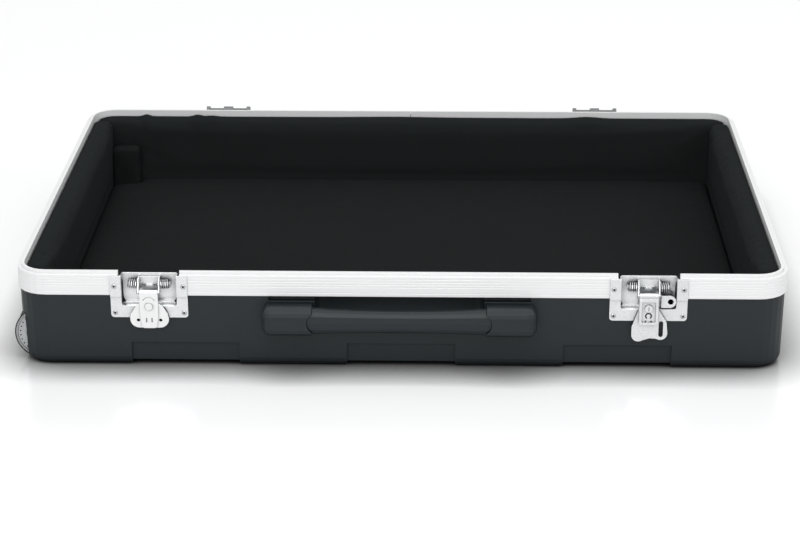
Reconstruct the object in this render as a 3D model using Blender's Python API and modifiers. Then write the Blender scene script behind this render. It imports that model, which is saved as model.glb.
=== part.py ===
# Base half of a moulded rolling case for a mixing desk, its lid lifted off.
# Metres, +Z up, +X to the right as seen from the front, +Y to the back.
# The origin is below the middle of the whole part, on the floor it stands on.

import math

import bmesh
import bpy
from mathutils import Matrix

mm = 0.001

# Driving dimensions of the case
case_length = 851 * mm        # over the rim, left to right
case_depth = 597 * mm         # over the rim, front to back
seat_height = 108.6 * mm      # the rim's seat for the lid, above the floor
fit = 0.3 * mm                # gap between pieces that touch
over = 20 * mm                # how far a cutter runs past what it cuts
weld = 0.01 * mm              # points nearer than this are one

# Aluminium rim
rim_leg = 24.1 * mm           # height of its outer face
rim_sheet = 1.5 * mm          # thickness of the outer leg
rim_web = 1.8 * mm            # thickness under the seat
rim_seat = 4.5 * mm           # width of the seat
tongue_width = 3 * mm
tongue_rise = 3 * mm
inner_leg = 14 * mm           # how far the inner leg reaches below the seat
rim_corner = 35 * mm          # outer corner radius in plan
rim_chamfer = 0.5 * mm
rim_joint = 0.6 * mm          # gap where the bent bar's ends meet at the back
groove_width = 0.9 * mm
groove_depth = 0.4 * mm
groove_drops = [3.6 * mm, 7.1 * mm, 10.1 * mm, 13 * mm, 20 * mm]
corner_steps = 6

# Splice plate over the rim's joint
splice_length = 46 * mm
splice_height = 17 * mm
splice_sheet = 1.2 * mm

# Moulded shell
wall = 3.5 * mm
draft = math.radians(0.75)
foot_radius = 10 * mm         # bottom edge of the shell
shell_steps = 6
foot_steps = 4

# Stacking channels across the bottom
channel_count = 3
channel_pitch = 238.7 * mm
channel_width = 119.5 * mm
channel_depth = 5.5 * mm
channel_inset = 4 * mm        # how far the front face steps back
channel_rise = 27.6 * mm      # height of that step
channel_flare = 3 * mm        # rounding where a channel meets a pad

# Foam lining
pad_wall = 24.2 * mm          # thickness of a wall pad
pad_top = 105.5 * mm
pad_floor = 28 * mm           # top of the floor pad
pad_crown = 9 * mm            # rounding of the inner top edges
crown_steps = 3

# Wheels at the left end
wheel_radius = 30.2 * mm
wheel_width = 22 * mm
wheel_lift = 0.3 * mm         # tyre clear of the floor when the case lies flat
wheel_proud = 4.9 * mm        # tyre beyond the rim's left face
wheel_set = 17.4 * mm         # front face of the wheel well behind the rim's front face
well_gap = 1.5 * mm           # wheel well round the tyre
cheek_sheet = 1.6 * mm        # steel plate at each side of a wheel
cheek_gap = 1 * mm            # tyre to plate
cheek_shift = 1.2 * mm        # the plates stand this much higher than the tyre
hub_radius = 18 * mm
tyre_round = 4 * mm
tyre_steps = 24
hub_steps = 16
cheek_steps = 28
axle_radius = 4 * mm
wheel_pad_sheet = 6 * mm

# Moulded handle on the front
handle_length = 301 * mm
handle_height = 33 * mm
handle_drop = 47.6 * mm       # its middle below the rim's seat
handle_proud = 23 * mm        # in front of the rim's face
handle_offset = -1.5 * mm     # from the case's middle
cap_round = 9 * mm
cap_steps = 3
cap_length = 55.2 * mm        # end of the handle to the grip's shoulder
grip_nose = 13 * mm           # radius of the grip's round ends
grip_bulge = 5.7 * mm         # tip of a round end beyond the shoulder
grip_tall = 12.4 * mm         # half height at the middle
grip_thick = 8 * mm           # half thickness at the middle
grip_flare_share = 1.22       # the ends' size, of the middle's
grip_centre = 11.5 * mm       # in front of the rim's face
grip_bow = 1.5 * mm
grip_power = 2.6              # squareness of the section
section_points = 14
grip_sections = 8
nose_steps = 32
core_width = 18 * mm
core_sheet = 1.6 * mm
core_end = 25.5 * mm          # its end inside the handle's end
backing_sheet = 1.3 * mm
backing_length = 44 * mm
backing_height = 24 * mm

# Finger pocket behind a grip
pocket_end = 2.3 * mm         # its end inside the grip's shoulder
pocket_depth = 19 * mm
pocket_drop = 20 * mm         # its floor below the handle's middle
pocket_round = 9 * mm
strip_end = 6.5 * mm          # its end inside the handle's end
strip_depth = 7 * mm
strip_gap = 1 * mm            # strip above the caps

# Latches, with heights above a base line that lies latch_reach below the rim's seat
latch_insets = [149 * mm, 154.5 * mm]   # their middles from the left and right ends
latch_reach = 108.6 * mm
flange_half = 42.5 * mm
flange_low = 58.4 * mm
flange_drop = 0.9 * mm        # top of the flange below the seat
flange_corner = 3.5 * mm
dish_half = 30.4 * mm
dish_low = 72 * mm
dish_depth = 11 * mm          # from the flange's face to the back panel
dish_corner = 3 * mm
dish_sheet = 1.2 * mm
rim_end = 33.8 * mm           # where the rim's lengths stop beside a latch's middle
joggle_height = 1.2 * mm
pin_radius = 1.25 * mm
pin_height = 89 * mm
knuckle_radius = 2.5 * mm
bracket_half = 12 * mm
bracket_sheet = 1.2 * mm
bracket_low = 90 * mm
bracket_high = 104 * mm
bracket_nose = 2.4 * mm
bracket_top = 8 * mm          # depth of an ear along its top
pin_head = 1.9 * mm
pin_head_height = 0.9 * mm
stud_radius = 2.4 * mm        # studs that carry the springs, through the bracket's ears
stud_height = 96.8 * mm
stud_drop = 3.4 * mm          # behind the rim's face
stud_head = 3.6 * mm
stud_head_height = 0.9 * mm
ear_turns = (135, 300)        # degrees of the ear's round nose
spring_wire = 1.2 * mm
spring_radius = 5 * mm
spring_turns = 4
spring_pitch = 2.3 * mm
spring_steps = 8
arm_half = 10.15 * mm
arm_sheet = 1.2 * mm
arm_low = 47.6 * mm
arm_foot = 8.4 * mm           # its half width at the bottom
arm_shoulder = 62 * mm        # where it starts to narrow
arm_corner = 3 * mm
wing_sheet = 1.2 * mm
wing_gap = 0.4 * mm           # wing in front of the flange
pivot_height = 73.3 * mm
pivot_radius = 2 * mm
pivot_head = 4.2 * mm
pivot_tail = 3.2 * mm
pivot_tail_height = 1 * mm
pivot_head_height = 1.1 * mm
arm_slot_width = 1.5 * mm
arm_slot_length = 5.5 * mm
arm_slot_place = 3 * mm
arm_slot_height = 57.2 * mm

# Wing of the left latch, measured from its pivot
wing_half = 21.4 * mm
wing_drop = 25.7 * mm
wing_lobe_radius = 10.2 * mm
wing_crown = 8 * mm
wing_hole_place = 12.3 * mm
wing_hole_drop = 16.8 * mm
wing_hole_radius = 1.85 * mm
wing_turns = (-90, 25)        # degrees of a lobe's round
wing_crown_turns = (20, 90)
wing_shoulder_shares = [(0.963, 0.389), (0.72, 0.051), (0.561, -0.047)]   # of its half width and its drop

# Lock arm and paddle of the right latch
lock_height = 75 * mm
lock_arm_half = 10.35 * mm
lock_arm_low = 56 * mm
lock_arm_wall = 2.7 * mm
lock_arm_rise = 2 * mm        # of its walls in front of its floor
lock_arm_top = 3.6 * mm       # solid band below the hinge knuckle
lock_radius = 4.3 * mm
lock_rise = 1.6 * mm
keyway_width = 0.9 * mm
keyway_length = 4.6 * mm
keyway_depth = 1 * mm
paddle_left = 18 * mm         # reach to the left of the lock
paddle_right = 21.5 * mm
paddle_drop = 39.9 * mm       # reach below the lock
paddle_right_drop = 37.9 * mm
paddle_lobe = 7.7 * mm
paddle_left_turns = (180, 305)    # degrees of each lobe's round
paddle_right_turns = (235, 365)
paddle_dip_shares = (0.093, 0.902)                                       # of its right reach and its drop
paddle_neck_shares = [(0.935, 0.416), (0.577, 0.105), (0.372, -0.09)]
paddle_left_neck_shares = [(0.444, -0.09), (0.65, 0.125), (0.994, 0.559)]
slot_place = 14.1 * mm
slot_high = 15.5 * mm
slot_low = 34.5 * mm
slot_width = 4.9 * mm

# Padlock lug
lug_left = 13.7 * mm
lug_right = 30 * mm
lug_low = 74.4 * mm
lug_high = 88.6 * mm
lug_sheet = 1.4 * mm
lug_foot = 24 * mm
lug_hole = 3.2 * mm
lug_hole_place = 23.9 * mm
lug_behind = 0.2 * mm         # front of the lug behind the flange's face

# Take-apart hinges
hinge_insets = [181.5 * mm, 181 * mm]   # their middles from the left and right ends
hinge_half = 29 * mm
hinge_sheet = 1.5 * mm
hinge_axis = 9 * mm           # behind the rim's back face
hinge_knuckle = 3.5 * mm
hinge_pin_radius = 1.15 * mm
hinge_end = 4.8 * mm          # length of an end knuckle
hinge_barrel_half = 6.1 * mm
leaf_high = 5 * mm            # below the seat
leaf_low = 22.5 * mm

# Worked out from the values above
half_length = case_length / 2
half_depth = case_depth / 2
latch_places = [latch_insets[0] - half_length, half_length - latch_insets[1]]
hinge_places = [hinge_insets[0] - half_length, half_length - hinge_insets[1]]
handle_middle = seat_height - handle_drop
grip_half = handle_length / 2 - cap_length
grip_reach = grip_half + grip_bulge
core_reach = handle_length / 2 - core_end
pocket_half = grip_half - pocket_end
pocket_low = handle_middle - pocket_drop
strip_half = handle_length / 2 - strip_end
rim_width = rim_seat + tongue_width
shell_gap = rim_sheet + fit                      # rim's face to the shell's face
shell_top = seat_height - rim_web - fit
rim_bottom = seat_height - rim_leg
draft_top = rim_bottom - fit
wheel_height = wheel_radius + wheel_lift
wheel_place = half_length + wheel_proud - wheel_radius
well_radius = wheel_radius + well_gap
well_half = wheel_width / 2 + cheek_gap + cheek_sheet + fit
wheel_side = half_depth - wheel_set - well_half
lining_gap = rim_width + fit
round_steps = 16
small_steps = 12
cap_foot = shell_gap - fit
flange_face = fit + dish_sheet
pin_drop = flange_face + wing_gap + wing_sheet + fit + arm_sheet - knuckle_radius
wing_face = flange_face + wing_gap + wing_sheet
arm_back = wing_face + fit
arm_face = arm_back + arm_sheet
panel_face = dish_depth - flange_face

# Reaches of the whole part, for its origin
left_reach = half_length + wheel_proud
right_reach = half_length
front_reach = half_depth + handle_proud
back_reach = half_depth + hinge_axis + hinge_knuckle
middle_x = (right_reach - left_reach) / 2
middle_y = (back_reach - front_reach) / 2


# Scene, materials and helpers

for old in list(bpy.data.objects):
    bpy.data.objects.remove(old, do_unlink=True)

parts = bpy.data.collections.new("mixer_case")
tools = bpy.data.collections.new("cutters")
bpy.context.scene.collection.children.link(parts)
bpy.context.scene.collection.children.link(tools)


def finish(name, colour, roughness, metallic):
    """A material with one Principled shader."""
    made = bpy.data.materials.new(name)
    made.use_nodes = True
    shader = made.node_tree.nodes["Principled BSDF"]
    shader.inputs["Base Color"].default_value = (*colour, 1)
    shader.inputs["Roughness"].default_value = roughness
    shader.inputs["Metallic"].default_value = metallic
    return made


black_shell = finish("black_shell", (0.030, 0.035, 0.038), 0.50, 0)
bright_rim = finish("bright_rim", (0.86, 0.87, 0.88), 0.30, 1)
black_lining = finish("black_lining", (0.014, 0.014, 0.015), 0.95, 0)
plated_steel = finish("plated_steel", (0.80, 0.80, 0.81), 0.18, 1)
pin_steel = finish("pin_steel", (0.62, 0.62, 0.63), 0.30, 1)
black_handle = finish("black_handle", (0.040, 0.044, 0.048), 0.42, 0)
black_tyre = finish("black_tyre", (0.020, 0.020, 0.020), 0.75, 0)
grey_hub = finish("grey_hub", (0.16, 0.16, 0.17), 0.50, 0)


def place(name, location, parent=None):
    """An empty that carries the pieces of one fitting."""
    spot = bpy.data.objects.new(name, None)
    spot.location = location
    spot.parent = parent
    parts.objects.link(spot)
    return spot


def solid(name, shape, material, parent, location=(0, 0, 0)):
    """A piece of the part, from a bmesh or a mesh."""
    mesh = shape
    if isinstance(shape, bmesh.types.BMesh):
        mesh = bpy.data.meshes.new(name)
        shape.to_mesh(mesh)
        shape.free()
    mesh.materials.clear()
    mesh.materials.append(material)
    mesh.shade_smooth()
    mesh.set_sharp_from_angle(angle=math.radians(32))
    piece = bpy.data.objects.new(name, mesh)
    piece.location = location
    piece.parent = parent
    parts.objects.link(piece)
    return piece


def cutter(name, shape, parent, location=(0, 0, 0)):
    """A tool for Boolean modifiers, left out of the part."""
    mesh = bpy.data.meshes.new(name)
    shape.to_mesh(mesh)
    shape.free()
    tool = bpy.data.objects.new(name, mesh)
    tool.location = location
    tool.parent = parent
    tool.hide_render = True
    tool.display_type = "WIRE"
    tools.objects.link(tool)
    return tool


def combine(piece, tool, operation="DIFFERENCE"):
    """Cut, join or intersect a piece with a tool."""
    change = piece.modifiers.new(tool.name, "BOOLEAN")
    change.object = tool
    change.operation = operation
    change.solver = "EXACT"


def box(low, high):
    """A block between two corners."""
    shape = bmesh.new()
    bmesh.ops.create_cube(shape, size=1)
    size = [b - a for a, b in zip(low, high)]
    middle = [(a + b) / 2 for a, b in zip(low, high)]
    bmesh.ops.scale(shape, vec=size, verts=shape.verts)
    bmesh.ops.translate(shape, vec=middle, verts=shape.verts)
    return shape


def round_edges(shape, radius, steps, chosen):
    """Round the edges for which chosen(first corner, second corner) is true."""
    edges = [e for e in shape.edges if chosen(e.verts[0].co, e.verts[1].co)]
    bmesh.ops.bevel(shape, geom=edges, offset=radius, segments=steps, profile=0.5,
                    affect="EDGES", clamp_overlap=True)


def upright(a, b):
    """True of an edge that climbs more than it runs."""
    return abs(a.z - b.z) > abs(a.x - b.x) + abs(a.y - b.y)


def rod(axis, centre, radius, low, high, steps=round_steps):
    """A cylinder along an axis (0, 1 or 2) from low to high; centre gives its other two places."""
    shape = bmesh.new()
    bmesh.ops.create_cone(shape, cap_ends=True, segments=steps, radius1=radius, radius2=radius,
                          depth=high - low)
    turns = {0: Matrix.Rotation(math.pi / 2, 4, "Y"), 1: Matrix.Rotation(math.pi / 2, 4, "X"),
             2: Matrix.Identity(4)}
    bmesh.ops.transform(shape, matrix=turns[axis], verts=shape.verts)
    spot = list(centre)
    spot.insert(axis, (low + high) / 2)
    bmesh.ops.translate(shape, vec=spot, verts=shape.verts)
    return shape


def arc(across, up, radius, start, end, steps):
    """Points of an arc, with its angles in degrees."""
    points = []
    for step in range(steps + 1):
        angle = math.radians(start + (end - start) * step / steps)
        points.append((across + radius * math.cos(angle), up + radius * math.sin(angle)))
    return points


def circle(across, up, radius, steps=None):
    """Points of a full circle."""
    steps = steps or small_steps
    return arc(across, up, radius, 0, 360 - 360 / steps, steps - 1)


def from_curve(curve):
    """The welded mesh of a curve, as a bmesh."""
    guide = bpy.data.objects.new("guide", curve)
    bpy.context.scene.collection.objects.link(guide)
    graph = bpy.context.evaluated_depsgraph_get()
    mesh = bpy.data.meshes.new_from_object(guide.evaluated_get(graph))
    bpy.data.objects.remove(guide)
    shape = bmesh.new()
    shape.from_mesh(mesh)
    bpy.data.meshes.remove(mesh)
    bmesh.ops.remove_doubles(shape, verts=shape.verts, dist=weld)
    bmesh.ops.recalc_face_normals(shape, faces=shape.faces)
    return shape


planes = {"XY": Matrix.Identity(4),
          "XZ": Matrix(((1, 0, 0, 0), (0, 0, -1, 0), (0, 1, 0, 0), (0, 0, 0, 1))),
          "YZ": Matrix(((0, 0, 1, 0), (1, 0, 0, 0), (0, 1, 0, 0), (0, 0, 0, 1)))}


def plate(rings, plane, low, high):
    """A flat solid: the first ring is its outline, the others are holes; low and high bound its thickness."""
    curve = bpy.data.curves.new("outline", "CURVE")
    curve.dimensions = "2D"
    curve.fill_mode = "BOTH"
    curve.extrude = (high - low) / 2
    for ring in rings:
        spline = curve.splines.new("POLY")
        spline.points.add(len(ring) - 1)
        for point, (a, b) in zip(spline.points, ring):
            point.co = (a, b, 0, 1)
        spline.use_cyclic_u = True
    shape = from_curve(curve)
    bmesh.ops.transform(shape, matrix=planes[plane], verts=shape.verts)
    middle = (low + high) / 2
    shift = {"XY": (0, 0, middle), "XZ": (0, middle, 0), "YZ": (middle, 0, 0)}[plane]
    bmesh.ops.translate(shape, vec=shift, verts=shape.verts)
    return shape


def swept(section, path, sizes, cyclic):
    """A section carried along a path; sizes scale the section at each point."""
    ring = bpy.data.curves.new("section", "CURVE")
    ring.dimensions = "2D"
    spline = ring.splines.new("POLY")
    spline.points.add(len(section) - 1)
    for point, (a, b) in zip(spline.points, section):
        point.co = (a, b, 0, 1)
    spline.use_cyclic_u = True
    ring_guide = bpy.data.objects.new("section", ring)
    bpy.context.scene.collection.objects.link(ring_guide)
    curve = bpy.data.curves.new("path", "CURVE")
    curve.dimensions = "3D"
    curve.twist_mode = "Z_UP"
    curve.bevel_mode = "OBJECT"
    curve.bevel_object = ring_guide
    curve.use_fill_caps = not cyclic
    spline = curve.splines.new("POLY")
    spline.points.add(len(path) - 1)
    for point, spot, size in zip(spline.points, path, sizes):
        point.co = (*spot, 1)
        point.radius = size
    spline.use_cyclic_u = cyclic
    shape = from_curve(curve)
    bpy.data.objects.remove(ring_guide)
    return shape


def turned(name, profile, material, parent, location, steps):
    """A profile turned about the Y axis: points are (radius, along), along running to -Y."""
    mesh = bpy.data.meshes.new(name)
    shape = bmesh.new()
    corners = [shape.verts.new((radius, 0, along)) for radius, along in profile]
    for first, second in zip(corners, corners[1:]):
        shape.edges.new((first, second))
    shape.edges.new((corners[-1], corners[0]))
    shape.to_mesh(mesh)
    shape.free()
    mesh.materials.append(material)
    piece = bpy.data.objects.new(name, mesh)
    piece.location = location
    piece.rotation_euler = (math.pi / 2, 0, 0)
    piece.parent = parent
    parts.objects.link(piece)
    screw = piece.modifiers.new("turn", "SCREW")
    screw.axis = "Z"
    screw.angle = 2 * math.pi
    screw.steps = steps
    screw.render_steps = steps
    screw.use_merge_vertices = True
    screw.merge_threshold = weld
    screw.use_smooth_shade = True
    return piece


case = place("case_middle", (-middle_x, -middle_y, 0))


# Shapes that the shell, its cavity and the pads share. A growth of zero is the outside
# of the moulding; the wall's thickness gives its inside.

def face_drop(height):
    """How far the shell's face lies behind the rim's face at a height."""
    return shell_gap + max(0, draft_top - height) * math.tan(draft)


def tray(inset, bottom, top):
    """The shell's rounded box, drawn in by inset, from bottom to top."""
    reach_x = half_length - shell_gap - inset
    reach_y = half_depth - shell_gap - inset
    shape = box((-reach_x, -reach_y, bottom), (reach_x, reach_y, top))
    bmesh.ops.bisect_plane(shape, geom=shape.verts[:] + shape.edges[:] + shape.faces[:],
                           plane_co=(0, 0, draft_top), plane_no=(0, 0, 1))
    narrow = (draft_top - bottom) * math.tan(draft)
    for corner in shape.verts:
        if abs(corner.co.z - bottom) < weld:
            corner.co.x -= math.copysign(narrow, corner.co.x)
            corner.co.y -= math.copysign(narrow, corner.co.y)
    round_edges(shape, rim_corner - shell_gap - inset, shell_steps, upright)

    def at_foot(a, b):
        return max(a.z, b.z) < bottom + weld and abs(a.z - b.z) < weld

    round_edges(shape, foot_radius - inset, foot_steps, at_foot)
    return shape


def channels(tag, grow):
    """Stacking channels: slabs across the bottom, with a step up the front and back faces."""
    made = []
    half = channel_width / 2 + grow
    face = half_depth - face_drop(channel_rise / 2) - channel_inset - grow
    flare = channel_flare if grow == 0 else 0
    for number in range(channel_count):
        x = (number - (channel_count - 1) / 2) * channel_pitch
        lip = flare * math.cos(math.radians(70)) if flare else 0
        ring = [(x - half - flare + lip, -over)]
        if flare:
            ring += arc(x - half - flare, flare, flare, -70, 0, 3)
        ring += [(x - half, channel_depth + grow), (x + half, channel_depth + grow)]
        if flare:
            ring += arc(x + half + flare, flare, flare, 180, 250, 3)
        ring += [(x + half + flare - lip, -over)]
        name = f"{tag}_channel_{number + 1}"
        made.append(cutter(name, plate([ring], "XZ", -half_depth, half_depth), case))
        for side in (-1, 1):
            low, high = sorted((side * face, side * (half_depth + over)))
            step = box((x - half, low, -over), (x + half, high, channel_rise + grow))
            made.append(cutter(f"{name}_step{'_front' if side < 0 else '_back'}", step, case))
    return made


def pocket(tag, grow):
    """Finger pocket behind a grip, and the shallower strip above the caps."""
    roof = rim_bottom + fit + grow
    mouth = -over if grow == 0 else 0
    deep = box((-pocket_half - grow, mouth, pocket_low - grow),
               (pocket_half + grow, shell_gap + pocket_depth + grow, roof))
    round_edges(deep, pocket_round, crown_steps,
                lambda a, b: a.y > shell_gap + pocket_depth and b.y > shell_gap + pocket_depth
                or grow == 0 and min(a.y, b.y) > 0)
    low = handle_middle + handle_height / 2 + strip_gap - grow
    strip = box((-strip_half - grow, mouth, low), (strip_half + grow, shell_gap + strip_depth + grow, roof))
    return [cutter(f"{tag}_pocket", deep, handle_spot), cutter(f"{tag}_strip", strip, handle_spot)]


def well(tag, grow, spot):
    """Wheel well: a drum round the tyre, open below and to the left."""
    half = well_half + grow
    drum = rod(1, (0, 0), well_radius + grow, -half, half, 32)
    mouth = box((-wheel_radius - over, -half, -wheel_height - over), (grow, half, grow))
    return [cutter(f"{tag}_drum", drum, spot), cutter(f"{tag}_mouth", mouth, spot)]


handle_spot = place("handle_place", (handle_offset, -half_depth, 0), case)
wheel_spots = {"front": place("front_wheel_place", (-wheel_place, -wheel_side, wheel_height), case),
               "rear": place("rear_wheel_place", (-wheel_place, wheel_side, wheel_height), case)}
latch_base = seat_height - latch_reach
latch_spots = {"left": place("left_latch_place", (latch_places[0], -half_depth, latch_base), case),
               "right": place("right_latch_place", (latch_places[1], -half_depth, latch_base), case)}
hinge_spots = {"left": place("left_hinge_place", (hinge_places[0], half_depth, seat_height), case),
               "right": place("right_hinge_place", (hinge_places[1], half_depth, seat_height), case)}


def hollows(tag, grow):
    """Every hollow that the moulding makes, at one growth."""
    made = channels(tag, grow) + pocket(tag, grow)
    for side, spot in wheel_spots.items():
        made += well(f"{tag}_{side}_well", grow, spot)
    return made


dish_holes = {}
for side, spot in latch_spots.items():
    reach = dish_half + dish_sheet + fit
    hole = box((-reach, -over, dish_low - dish_sheet - fit), (reach, panel_face + dish_sheet + fit,
                                                              latch_reach + over))
    dish_holes[side] = cutter(f"{side}_dish_hole", hole, spot)


# Shell

shell = solid("shell", tray(0, 0, shell_top), black_shell, case)
cavity = cutter("cavity", tray(wall, wall, seat_height + over), case)
for tool in hollows("inside", wall):
    combine(cavity, tool)
for tool in hollows("outside", 0):
    combine(shell, tool)
combine(shell, cavity)
for tool in dish_holes.values():
    combine(shell, tool)


# Rim: a bent bar in three lengths, whose ends meet behind the splice plate

def rim_section():
    """Points (inwards, up) of the bar, from the outer top edge round to the seat."""
    points = [(rim_chamfer, 0), (0, -rim_chamfer)]
    for drop in groove_drops:
        points += [(0, -drop + groove_width / 2), (groove_depth, -drop), (0, -drop - groove_width / 2)]
    points += [(0, -rim_leg + rim_chamfer), (rim_chamfer, -rim_leg), (rim_sheet, -rim_leg),
               (rim_sheet, -rim_web)]
    inside = rim_sheet + 2 * fit + wall
    points += [(inside, -rim_web), (inside, -inner_leg), (rim_width, -inner_leg),
               (rim_width, tongue_rise), (rim_seat, tongue_rise), (rim_seat, 0)]
    return points


def rim_routes():
    """Paths in plan of the bar's three lengths, cut where the latch dishes pass through it."""
    x = half_length - rim_corner
    y = half_depth - rim_corner
    left = [(-rim_joint / 2, half_depth)]
    left += arc(-x, y, rim_corner, 90, 180, corner_steps) + arc(-x, -y, rim_corner, 180, 270, corner_steps)
    left.append((latch_places[0] - rim_end, -half_depth))
    front = [(latch_places[0] + rim_end, -half_depth), (latch_places[1] - rim_end, -half_depth)]
    right = [(latch_places[1] + rim_end, -half_depth)]
    right += arc(x, -y, rim_corner, 270, 360, corner_steps) + arc(x, y, rim_corner, 0, 90, corner_steps)
    right.append((rim_joint / 2, half_depth))
    return {"left": left, "front": front, "right": right}


for side, route in rim_routes().items():
    path = [(a, b, seat_height) for a, b in route]
    bar = swept([(-a, b) for a, b in rim_section()], path, [1] * len(path), False)
    solid(f"rim_{side}", bar, bright_rim, case)

splice_low = rim_bottom + (rim_leg - splice_height) / 2
splice = box((-splice_length / 2, half_depth + fit, splice_low),
             (splice_length / 2, half_depth + fit + splice_sheet, splice_low + splice_height))
round_edges(splice, splice_sheet, 2, lambda a, b: abs(a.y - b.y) > weld)
solid("rim_splice", splice, bright_rim, case)


# Foam lining

lining = box((-half_length + lining_gap, -half_depth + lining_gap, 0),
             (half_length - lining_gap, half_depth - lining_gap, seat_height))
round_edges(lining, rim_corner - lining_gap, shell_steps, upright)
lining = cutter("lining_outline", lining, case)
relief = channels("pad", wall + fit) + pocket("pad", wall + fit)
inner_x = half_length - lining_gap - pad_wall
inner_y = half_depth - lining_gap - pad_wall
pad_low = channel_depth + wall + fit
well_in = wall + fit
well_edge = -wheel_place + well_radius + well_in
well_side = wheel_side - well_half - well_in
well_roof = wheel_height + well_radius + well_in

wheel_rooms = {}
for side, sign in (("front", -1), ("rear", 1)):
    low, high = sorted((sign * well_side, sign * (half_depth + over)))
    room = box((-half_length - over, low, -over), (well_edge, high, well_roof))
    wheel_rooms[side] = cutter(f"{side}_wheel_room", room, case)


def pad(name, low, high, crowned, tools_for_it):
    """A foam pad: a block with its inner top edges rounded."""
    shape = box(low, high)
    round_edges(shape, pad_crown, crown_steps, crowned)
    piece = solid(name, shape, black_lining, case)
    for tool in tools_for_it:
        combine(piece, tool)
    combine(piece, lining, "INTERSECT")
    return piece


outer_x = half_length - lining_gap
outer_y = half_depth - lining_gap
latch_rooms = [dish_holes["left"], dish_holes["right"]]
rooms = list(wheel_rooms.values())
pad("wall_pad_front", (-outer_x, -outer_y, pad_low), (outer_x, -inner_y, pad_top),
    lambda a, b: min(a.z, b.z) > pad_top - weld and min(a.y, b.y) > -inner_y - weld,
    relief + latch_rooms + [wheel_rooms["front"]])
pad("wall_pad_back", (-outer_x, inner_y, pad_low), (outer_x, outer_y, pad_top),
    lambda a, b: min(a.z, b.z) > pad_top - weld and max(a.y, b.y) < inner_y + weld,
    relief + [wheel_rooms["rear"]])
side_y = inner_y - fit
pad("wall_pad_left", (-outer_x, -side_y, pad_low), (-inner_x, side_y, pad_top),
    lambda a, b: min(a.z, b.z) > pad_top - weld and min(a.x, b.x) > -inner_x - weld, rooms)
pad("wall_pad_right", (inner_x, -side_y, pad_low), (outer_x, side_y, pad_top),
    lambda a, b: min(a.z, b.z) > pad_top - weld and max(a.x, b.x) < inner_x + weld, relief)

floor_pad = solid("floor_pad", box((-inner_x + fit, -inner_y + fit, pad_low),
                                   (inner_x - fit, inner_y - fit, pad_floor)), black_lining, case)

for side, sign in (("front", -1), ("rear", 1)):
    low, high = sorted((sign * (well_side - wheel_pad_sheet - fit), sign * (half_depth + over)))
    clear = box((-half_length - over, low, -over), (well_edge + wheel_pad_sheet + fit, high, seat_height))
    combine(floor_pad, cutter(f"wheel_pad_{side}_clear", clear, case))
    low, high = sorted((sign * (well_side - wheel_pad_sheet), sign * (inner_y - fit)))
    cover = box((-inner_x + fit, low, pad_low), (well_edge + wheel_pad_sheet, high, well_roof + wheel_pad_sheet))
    round_edges(cover, wheel_pad_sheet / 2, 2,
                lambda a, b: min(a.z, b.z) > well_roof or upright(a, b) and a.x > well_edge)
    piece = solid(f"wheel_pad_{side}", cover, black_lining, case)
    combine(piece, wheel_rooms[side])


# Wheels

tyre_inner = hub_radius + fit
bore = axle_radius + fit
tyre_half = wheel_width / 2


def wheel(side, outwards, spot):
    """Plates, axle, hub and tyre at one corner; outwards is the sign of Y towards the case's outside."""
    edge = arc(wheel_radius - tyre_round, tyre_half - tyre_round, tyre_round, 90, 0, 3)
    edge += arc(wheel_radius - tyre_round, -tyre_half + tyre_round, tyre_round, 0, -90, 3)
    profile = [(tyre_inner, tyre_half)] + edge + [(tyre_inner, -tyre_half)]
    turned(f"wheel_tyre_{side}", profile, black_tyre, spot, (0, 0, 0), tyre_steps)
    web = tyre_half / 3
    hollow = hub_radius - tyre_round
    boss = bore + tyre_round
    profile = [(bore, tyre_half), (boss, tyre_half), (boss, web), (hollow, web), (hollow, tyre_half),
               (hub_radius, tyre_half), (hub_radius, -tyre_half), (hollow, -tyre_half), (hollow, -web),
               (boss, -web), (boss, -tyre_half), (bore, -tyre_half)]
    turned(f"wheel_hub_{side}", profile, grey_hub, spot, (0, 0, 0), hub_steps)
    cheek_in = tyre_half + cheek_gap
    cheek_out = cheek_in + cheek_sheet
    outline = circle(0, cheek_shift, wheel_radius, cheek_steps)
    for place_name, sign in (("outer", outwards), ("inner", -outwards)):
        low, high = sorted((sign * cheek_in, sign * cheek_out))
        solid(f"wheel_plate_{side}_{place_name}", plate([outline, circle(0, 0, bore)], "XZ", low, high),
              plated_steel, spot)
    solid(f"wheel_axle_{side}", rod(1, (0, 0), axle_radius, -cheek_out, cheek_out), pin_steel, spot)


wheel("front", -1, wheel_spots["front"])
wheel("rear", 1, wheel_spots["rear"])


# Handle

def grip_section():
    """A squarish oval: (towards the wall, up)."""
    points = []
    for number in range(section_points):
        angle = 2 * math.pi * number / section_points
        across, up = math.cos(angle), math.sin(angle)
        power = 2 / grip_power
        points.append((grip_thick * math.copysign(abs(across) ** power, across),
                       grip_tall * math.copysign(abs(up) ** power, up)))
    return points


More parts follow.
